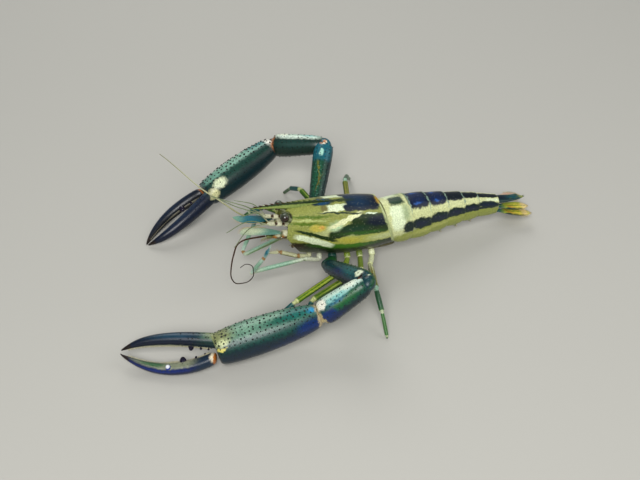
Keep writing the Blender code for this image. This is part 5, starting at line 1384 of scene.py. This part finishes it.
# %% Loft the plates
for number, length in enumerate(ABDOMEN_LENGTHS):
    start, direction = plate_starts[number], line_headings[number]
    lift = direction.cross(ACROSS)
    near = (start, (line_headings[number - 1] + direction).normalized()) if number else REAR_PLANE
    far = (line[number + 1], (direction + line_headings[number + 1]).normalized())
    widening = 0.05 if number == 1 else 0.0     # only the second plate's lobes stand out
    plate = begin("plate_%d" % (number + 1))
    for share, scale in PLATE_STEPS:
        corners = []
        for aside, above in plate_outline(borders[number] + length * share, scale):
            if above < 0.0:
                above = above * (1.0 - LOBE_ROUNDING * abs(2.0 * share - 1.0) ** 3)
            point = start + ACROSS * aside + lift * above
            place = slid(point, direction, near).lerp(slid(point, direction, far), share)
            low = max(0.0, -above / between(ABDOMEN_BOTTOM, borders[number]) - 0.1)
            shift = LOBE_REACH[number] * (2.0 * share - 1.0) + LOBE_SWEEP[number]
            corners.append(place + direction * shift * low + ACROSS * (place.y * widening * low))
        add_outline(corners)
    skin(plate, 24)
    complete(plate, 3)
    chart(plate, start - direction * borders[number], direction, lift, -ACROSS)
    dress(plate, "abdomen_shell", abdomen_finish, "abdomen_%d" % (number + 1))
print("plates:", len(ABDOMEN_LENGTHS), "with", len(plate.data.polygons), "faces each")

# %% Soft skin at the waist
# The first plate slides under the shield, and a fold of soft skin closes the slit.
WAIST_STEPS = ((-4.0, 12.6, 15.4), (-1.2, 13.7, 16.9), (0.4, 13.5, 16.2), (1.6, 13.2, 14.9),
               (3.4, 12.6, 13.8))
WAIST_DEPTH = 12.6
waist = begin("waist_skin")
for behind, half_width, top in WAIST_STEPS:
    plane = (spot(REAR_EDGE - behind), REAR_PLANE[1])
    corners = []
    for k in range(24):
        aside, above = half_width * math.cos(math.pi * k / 12), math.sin(math.pi * k / 12)
        corners.append(slid(spot(0.0, aside, above * (top if above > 0.0 else WAIST_DEPTH)), AHEAD, plane))
    add_outline(corners)
skin(waist, 24)
complete(waist, 2)
waist_finish = cuticle("soft_waist_skin", "8E8C60", (("6A6A40", 0, 0, 4, 60, 0, 0.8),), drift=1.5,
                       roughness=0.5, coat=0.05)
dress(waist, "thorax_skin", waist_finish)

# %% [markdown]
# ## Swimmerets
# Under each of the first five plates hangs a pair of short legs, each a stalk with two
# leafy blades fringed with hairs. They are lofted like the other limbs. A blade is a
# very flat tube, and its hairs are copies of one hair set along both edges.

# %% Stalks, blades and their fringes
SWIMMERET_LENGTHS = (12.5, 13.0, 12.5, 11.0, 9.0)
STALK_GIRTH = ((0.0, 1.25, 0.8), (0.5, 1.3, 0.85), (0.9, 1.15, 0.8), (1.0, 0.8, 0.6))
BLADE_GIRTH = ((0.0, 0.6, 0.4), (0.12, 1.15, 0.42), (0.35, 1.65, 0.36), (0.62, 1.75, 0.3), (0.84, 1.2, 0.26),
               (0.96, 0.5, 0.22), (1.0, 0.2, 0.15))
STALK_SHARE, LEAF_SHARE = 0.28, 0.74    # of a swimmeret's length
ROOT_ASIDE, ROOT_SINK = 0.27, 1.5       # of the plate's half width, and how deep a stalk starts
SWIMMERET_TRAIL, LEAF_TWIST, LEAF_OVERLAP = 0.55, 0.75, 0.7
LEAF_LEANS = ((-0.13, 0.0), (0.13, 0.16))
HAIRS_AN_EDGE, HAIR_SINK = 11, 0.15
swimmeret_finish = cuticle("pale_olive_swimmeret_skin", "A3AE7C", (
    band("5E7A4A", 7, 3, 0.8), band("2E6A66", 3.6, 0.9, 0.6)), drift=0.8, coat=0.15)
hairs = []
for number, length in enumerate(SWIMMERET_LENGTHS):
    direction = line_headings[number]
    lift = direction.cross(ACROSS)
    along = borders[number] + ABDOMEN_LENGTHS[number] / 2.0
    sternum = between(ABDOMEN_BOTTOM, along) * STERNUM_DEPTH
    centre = line[number].lerp(line[number + 1], 0.5) - lift * (sternum - ROOT_SINK)
    down = (direction * SWIMMERET_TRAIL - lift).normalized()
    for name, side in SIDES.items():
        root = centre + ACROSS * side * ROOT_ASIDE * between(ABDOMEN_HALF_WIDTH, along)
        wrist = root + down * (ROOT_SINK + length * STALK_SHARE)
        swimmeret = begin("swimmeret_%d_%s" % (number + 1, name))
        for share, half_width, half_depth in STALK_GIRTH:
            add_ring(root.lerp(wrist, share), ACROSS, down.cross(ACROSS), half_width, half_depth, 10,
                     share * length * 0.3)
        skin(swimmeret, 10)
        for lean, trail in LEAF_LEANS:
            toward = (down + ACROSS * side * lean + direction * trail).normalized()
            start = wrist - toward * LEAF_OVERLAP
            across = square_to(toward, ACROSS + direction * side * LEAF_TWIST)
            first = len(MARKS)
            for share, half_width, half_depth in BLADE_GIRTH:
                add_ring(start + toward * share * length * LEAF_SHARE, across, toward.cross(across),
                         half_width, half_depth, 10, 4.0 + share * length * 0.7)
            skin(swimmeret, 10, first)
            for k in range(2 * HAIRS_AN_EDGE):
                share = 0.25 + 0.74 * (k // 2) / (HAIRS_AN_EDGE - 1)
                edge = 1 if k % 2 else -1
                reach = between(column(BLADE_GIRTH, 1), share) - HAIR_SINK
                place = start + toward * share * length * LEAF_SHARE + across * edge * reach
                hairs.append(aim(world(place), toward * (0.5 + share) + across * edge * (1.2 - share), lift,
                                 0.8, 0.8, 1.5))
        complete(swimmeret, 2)
        dress(swimmeret, "abdomen_shell", swimmeret_finish)
fringe = repeated("swimmeret_setae", hair, hairs)
dress(fringe, "abdomen_shell", fringe_finish)
print("swimmerets: 10, hairs:", len(hairs))

# %% [markdown]
# ## The tail fan
# A narrow telson in the middle and two flat blades on each side. Each is a flattened
# lofted tube; the blades have a raised rib along the middle and a fringe of hairs round
# the rear edge, and a low curved seam lies across each outer blade.

# %% Telson
TELSON_HALF_WIDTH = ((0, 3.6), (5, 4.2), (14, 3.2), (21, 1.8), (23, 0.7))
TELSON_HALF_HEIGHT = ((0, 1.5), (5, 1.5), (14, 1.0), (23, 0.5))
fan_finish = {
    "telson": cuticle("dark_telson_shell", "082E2E", (
        ("061525", 6, 0, 10, 2, 0, 0.6), ("0C4A50", 15, 0, 6, 2, 0, 0.8), ("8E9450", 22, 0, 2.4, 2, 0, 0.8)),
        arc=1.0, drift=1.0),
    "L": cuticle("yellow_green_blade", "9CA832", (
        ("0E4A4A", 2, 0, 4, 5, 0, 0.6), ("B0682A", 11, 1.2, 4, 1.2, 20, 0.7),
        ("082C2C", 14, 3.6, 11, 1.3, 0, 0.4), ("D8C84A", 18, 0.6, 6, 2.4, 0, 0.8),
        ("E4C88A", 22, 0, 2.6, 3, 0, 0.7), ("5E7A1E", 12, 0.4, 12, 0.35, 0, 0.5)),
        arc=1.0, drift=1.4, mirror=False),
    "R": cuticle("teal_cream_blade", "0A3A3C", (
        ("D8D0A8", 14, 3.2, 13, 1.3, 0, 0.5), ("C89A84", 19, 3.4, 7, 1.1, 0, 0.6),
        ("0E5A60", 14, 0.4, 8, 1.6, 0, 0.8), ("06201E", 12, -2.6, 12, 1.2, 0, 0.6)),
        arc=1.0, drift=1.4, mirror=False),
}
TELSON_STATIONS = (-1.5, 0.5, 3.0, 7.0, 12.0, 17.0, 20.5, 22.4, 23.0)
TELSON_SPINES = ((11.0, 1.8), (16.5, 1.3), (22.6, 0.45))    # distance, aside
TELSON_SPINE_SIZE, SPINE_HEIGHT = 0.75, 0.7     # the height is a share of the half height there
tail_heading = line_headings[6]
tail_lift = tail_heading.cross(ACROSS)
face_lift = (line_headings[5] + tail_heading).normalized().cross(ACROSS)
telson_root = line[6] + face_lift * 3.2
telson = loft("telson_plate", [
    (telson_root + tail_heading * distance, ACROSS, tail_lift, between(TELSON_HALF_WIDTH, distance),
     between(TELSON_HALF_HEIGHT, distance), distance) for distance in TELSON_STATIONS], 16)
chart(telson, telson_root, tail_heading, tail_lift, ACROSS, flat=True)
dress(telson, "tail_fan", fan_finish["telson"], "telson")
spine_places = []
for distance, aside in TELSON_SPINES:
    for side in SIDES.values():
        height = between(TELSON_HALF_HEIGHT, distance) * SPINE_HEIGHT * (distance < 20.0)
        foot = telson_root + tail_heading * distance + ACROSS * side * aside + tail_lift * height
        spine_places.append(framed(world(foot), tail_heading * TELSON_SPINE_SIZE, ACROSS * TELSON_SPINE_SIZE,
                                   tail_lift * TELSON_SPINE_SIZE))
telson_spines = repeated("telson_spines", tooth, spine_places)
dress(telson_spines, "tail_fan", tooth_finish)

# %% Blades with ribs and fringes
UROPOD_ROOTS = {"inner": (3.0, -0.4), "outer": (4.1, -3.2)}
UROPOD_LENGTHS = {"inner": 24.0, "outer": 26.0}
UROPOD_SPREAD = {"inner": 7.0, "outer": 15.0}
UROPOD_HALF_WIDTH = ((0.0, 1.1), (0.15, 2.0), (0.4, 3.9), (0.7, 4.3), (0.9, 3.0), (1.0, 1.2))
UROPOD_HALF_HEIGHT = ((0.0, 0.8), (0.3, 0.6), (1.0, 0.35))
UROPOD_STATIONS = (-0.05, 0.03, 0.12, 0.25, 0.4, 0.55, 0.7, 0.82, 0.91, 0.97, 1.0)
UROPOD_FULLNESS = 1.03
RIB_STATIONS = (0.04, 0.2, 0.4, 0.6, 0.8, 0.93)
SEAM_START, SEAM_STEP, SEAM_POINTS = 0.8, 0.02, 5
RIB_RADII, SEAM_RADII = (0.42, 0.2), (0.26, 0.16)
FAN_HAIRS, FAN_HAIR_LENGTH = 64, 2.0
for name, side in SIDES.items():
    for blade_name, (aside, above) in UROPOD_ROOTS.items():
        root = line[6] + ACROSS * side * aside + face_lift * above
        direction = heading(180.0 - UROPOD_SPREAD[blade_name], -TELSON_SLOPE, side)
        lift = square_to(direction, face_lift)
        across = direction.cross(lift)
        outward = across if across.y * side > 0.0 else -across
        reach = UROPOD_LENGTHS[blade_name]
        fan = begin("tail_blade_%s_%s" % (blade_name, name))
        for share in UROPOD_STATIONS:
            add_ring(root + direction * share * reach, across, lift,
                     between(UROPOD_HALF_WIDTH, share) * UROPOD_FULLNESS, between(UROPOD_HALF_HEIGHT, share),
                     16, share * reach)
        skin(fan, 16)
        rib = [root + direction * share * reach + lift * (between(UROPOD_HALF_HEIGHT, share) - 0.1)
               for share in RIB_STATIONS]
        add_whip(fan, rib, *RIB_RADII, 8, 0.0)
        if blade_name == "outer":
            seam_height = between(UROPOD_HALF_HEIGHT, SEAM_START) - 0.08
            seam = [root + direction * reach * (SEAM_START + SEAM_STEP * k) + outward * (3.1 - 1.3 * k)
                    + lift * seam_height for k in range(SEAM_POINTS)]
            add_whip(fan, seam, *SEAM_RADII, 6, 20.0)
        complete(fan, 2)
        chart(fan, root, direction, lift, outward, flat=True)
        dress(fan, "tail_fan", fan_finish[name], "uropod_%s_%s" % (blade_name, name))
        hairs = []
        for k in range(FAN_HAIRS):
            angle = math.radians(-100.0 + 200.0 * k / (FAN_HAIRS - 1))
            share = 0.74 + 0.25 * math.cos(angle)
            bow = math.copysign(min(1.0, abs(math.sin(angle)) * 1.1), math.sin(angle))
            edge = between(UROPOD_HALF_WIDTH, share) * bow
            place = root + direction * share * reach + outward * edge * 0.93
            lean = direction * (0.4 + math.cos(angle)) + outward * math.sin(angle)
            hairs.append(aim(world(place), lean, lift, 1.0, 1.0, FAN_HAIR_LENGTH))
        fringe = repeated("tail_fringe_%s_%s" % (blade_name, name), hair, hairs)
        dress(fringe, "tail_fan", fringe_finish)

# %% [markdown]
# ## The thorax
# Under the shield the body is a keel of joined rings, duller than the shell. Its dark
# brown-green is painted shade, for the shadow of the shield on a paler skin, with painted
# shade in each groove. Every leg grows from a ring of its own, so the keel swells at each
# root and narrows to a groove between two roots. In front, small jaws and palps close the mouth.

# %% Loft the keel
THORAX_HALF_WIDTH = ((-10, 10.6), (10, 11.2), (46, 11.2), (58, 10.6), (76, 10.4))
THORAX_MIDDLE = ((-10, -12.0), (52, -12.0), (66, 0.0), (76, 0.0))
THORAX_TOP = ((-10, -9.0), (20, -9.0), (52, -9.0), (60, 4.0), (67, 15.8), (76, 15.8))
THORAX_WAIST = ((-10, 10.6, -13.4), (10, 11.2, -13.8), (46, 10.6, -14.2), (60, 8.0, -13.5), (76, 6.6, -12.6))
THORAX_FOOT = ((-10, 6.2, -14.2), (10, 6.3, -20.2), (46, 6.4, -20.6), (62, 4.4, -18.0), (76, 3.6, -15.0))
GROOVES = (9.5, 18.5, 27.5, 37.5, 47.5, 55.0)
FACE_PLANE_NORMAL = AHEAD * math.cos(FACE_TILT) - UPWARD * math.sin(FACE_TILT)


def keel_section(ahead, scale=1.0, plane=None):
    """The trunk's section: an arch above, slanted flanks and a rounded sternum."""
    half_width, middle, top = [between(keys, ahead)
                               for keys in (THORAX_HALF_WIDTH, THORAX_MIDDLE, THORAX_TOP)]
    outline = [(half_width * math.cos(math.pi * k / 6), middle + (top - middle) * math.sin(math.pi * k / 6))
               for k in range(7)]
    waist, foot = [(between(column(keys, 1), ahead), between(column(keys, 2), ahead))
                   for keys in (THORAX_WAIST, THORAX_FOOT)]
    outline += [(-waist[0], waist[1]), (-foot[0], foot[1]), (0.0, foot[1] - 0.5), foot, waist]
    core = (top + foot[1]) / 2.0
    corners = [spot(ahead, aside * scale, core + (above - core) * scale) for aside, above in outline]
    return [slid(corner, AHEAD, plane) for corner in corners] if plane else corners


GROOVE_STEPS = ((-1.1, 1.02), (0.0, 0.95), (1.1, 1.02))
SWELLINGS = [(14.0, 1.04), (23.0, 1.04), (32.0, 1.04), (42.5, 1.04), (51.3, 1.04), (59.0, 1.02)]
REAR_STEPS = ((2.4, 0.7, -9.0), (1.2, 0.92, -7.0), (-1.5, 1.0, -2.0))      # behind, scale, section's place
FACE_STEPS, FACE_SECTION = ((1.4, 1.0), (0.5, 0.96), (0.0, 0.84)), 68.0
keel = begin("thorax_keel")
for behind, scale, ahead in REAR_STEPS:
    add_outline(keel_section(ahead, scale, (spot(REAR_EDGE - behind), REAR_PLANE[1])))
stations = SWELLINGS + [(groove + step, scale) for groove in GROOVES for step, scale in GROOVE_STEPS]
for ahead, scale in sorted(stations):
    add_outline(keel_section(ahead, scale))
for back, scale in FACE_STEPS:
    plane = (spot(FACE_EDGE - back, 0.0, FACE_HEIGHT), FACE_PLANE_NORMAL)
    add_outline(keel_section(FACE_SECTION, scale, plane))
skin(keel, 12)
complete(keel, 3)
# The dark ground is painted shade, for the shield's shadow, and the band at each groove is painted shade in the
# crease; lighter towards the bottom and darker high at the front.
keel_finish = cuticle("thorax_skin_in_painted_shade", "4A4628", (
    ("7A7650", 30, 0, 34, 40, 0, 0.8), ("3A3A1E", 64, 180, 8, 120, 0, 0.6),
    *[band("26220F", groove, 0.5, 0.5) for groove in GROOVES]), drift=1.0, roughness=0.5, coat=0.1)
chart(keel, HIP, AHEAD, -UPWARD, -ACROSS)
dress(keel, "thorax_skin", keel_finish, "thorax")
print("keel:", len(keel.data.polygons), "faces in", len(GROOVES) + 1, "rings")

# %% Jaws and palps
JAW_ROOT, PALP_ROOT, PALP_WHIP_ROOT = (1.9, -7.0), (4.4, -9.6), (5.6, -8.2)      # aside, above
PALP_WHIP_STEPS = ((0.0, 0.0, 0.0), (3.5, 1.2, 0.8), (8.5, 1.0, -0.6))           # ahead, aside, above
JAW_GIRTH = ((0.0, 1.5, 1.6), (0.3, 1.7, 1.9), (0.8, 1.3, 1.2), (1.0, 0.6, 0.6))
jaw_finish = cuticle("tan_jaw_shell", "8C8458", (band("4A3418", 3.2, 1.2, 0.5),), arc=0.05, drift=0.4)
for name, side in SIDES.items():
    jaws = begin("jaws_" + name)
    root, shoulder, whip_root = [on_face(side * aside, above)
                                 for aside, above in (JAW_ROOT, PALP_ROOT, PALP_WHIP_ROOT)]
    add_segment(jaws, root - AHEAD, root + AHEAD * 2.8 - UPWARD * 1.4, UPWARD, JAW_GIRTH, 12, 0.0)
    elbow = shoulder + AHEAD * 3.6 - UPWARD * 1.2 + ACROSS * side * 0.6
    tip = elbow + AHEAD * 1.2 - UPWARD * 2.6 - ACROSS * side * 2.2
    add_segment(jaws, shoulder - AHEAD, elbow, UPWARD, tube_profile(1.3, 1.5, 1.1, 0.8), 12, 0.0)
    add_ball(jaws, elbow, (tip - elbow).normalized(), 0.9, 10, 1.2)
    add_segment(jaws, elbow, tip, AHEAD, tube_profile(0.9, 1.2, 0.6, 0.7), 12, 0.6)
    route = [whip_root + AHEAD * ahead + ACROSS * side * aside + UPWARD * above
             for ahead, aside, above in PALP_WHIP_STEPS]
    add_whip(jaws, smooth_route(route, 1.0), 0.55, 0.16, 8, 0.0)
    complete(jaws, 2)
    dress(jaws, "thorax_skin", jaw_finish)
print("jaws:", len(jaws.data.polygons), "faces a side")

# %% [markdown]
# ## Floor, light and camera
# A pale floor and three soft lamps, as in a studio. The camera was fitted to the
# photograph: 44 degrees above, 600 mm away, with a 51 mm lens.

# %% Studio
# The standard view keeps the markings as deep as their hex colours; the filmic one pales them.
bpy.context.scene.view_settings.view_transform = "Standard"
bpy.ops.object.select_all(action="DESELECT")
bpy.ops.mesh.primitive_plane_add(size=6.0, location=(0.0, 0.0, 0.0))
floor = bpy.context.object
floor.name = "studio_floor"
floor_finish = bpy.data.materials.new("matt_pale_paint")
floor_finish.use_nodes = True
paint = floor_finish.node_tree.nodes["Principled BSDF"].inputs
paint["Base Color"].default_value = hex_colour("B9B7AF")
paint["Roughness"].default_value = 0.8
floor.data.materials.append(floor_finish)
LAMP_TARGET = Vector((0.0, 0.0, 0.02))
LAMPS = (("key_lamp", (-0.35, -0.75, 0.95), 0.6, 12.5), ("fill_lamp", (0.9, -0.4, 0.8), 0.9, 3.5),
         ("back_lamp", (0.1, 0.95, 0.9), 0.8, 6.0))
for name, place, size, power in LAMPS:
    aim_at = LAMP_TARGET - Vector(place)
    bpy.ops.object.light_add(type="AREA", location=place, rotation=aim_at.to_track_quat("-Z", "Y").to_euler())
    lamp = bpy.context.object
    lamp.name = name
    lamp.data.size = size
    lamp.data.energy = power
sky = bpy.data.worlds.new("soft_room")
sky.use_nodes = True
sky.node_tree.nodes["Background"].inputs["Color"].default_value = hex_colour("DDE3E6")
sky.node_tree.nodes["Background"].inputs["Strength"].default_value = 0.25
bpy.context.scene.world = sky

# %% Camera
AZIMUTH, ELEVATION, DISTANCE = math.radians(-20.0), math.radians(44.0), 600.0
FOCAL_PIXELS = 906.67
PICTURE_CENTRE, VIEW_CENTRE = (320, 240), (342, 226)      # in the photo's pixels
target = Vector((-35.0, 0.0, 30.5))
back = Vector((math.sin(AZIMUTH) * math.cos(ELEVATION), -math.cos(AZIMUTH) * math.cos(ELEVATION),
               math.sin(ELEVATION)))
right = Vector((math.cos(AZIMUTH), math.sin(AZIMUTH), 0.0))
up = back.cross(right)
eye_point = (target + back * DISTANCE - right * DISTANCE * (VIEW_CENTRE[0] - PICTURE_CENTRE[0]) / FOCAL_PIXELS
             - up * DISTANCE * (PICTURE_CENTRE[1] - VIEW_CENTRE[1]) / FOCAL_PIXELS)
bpy.ops.object.camera_add(location=world(eye_point),
                          rotation=Matrix((right, up, back)).transposed().to_euler())
camera = bpy.context.object
camera.name = "photo_camera"
camera.data.lens = 51.0
camera.data.sensor_width = 36.0
camera.data.clip_start = 0.01
bpy.context.scene.camera = camera
print("camera at", tuple(round(value, 3) for value in camera.location))
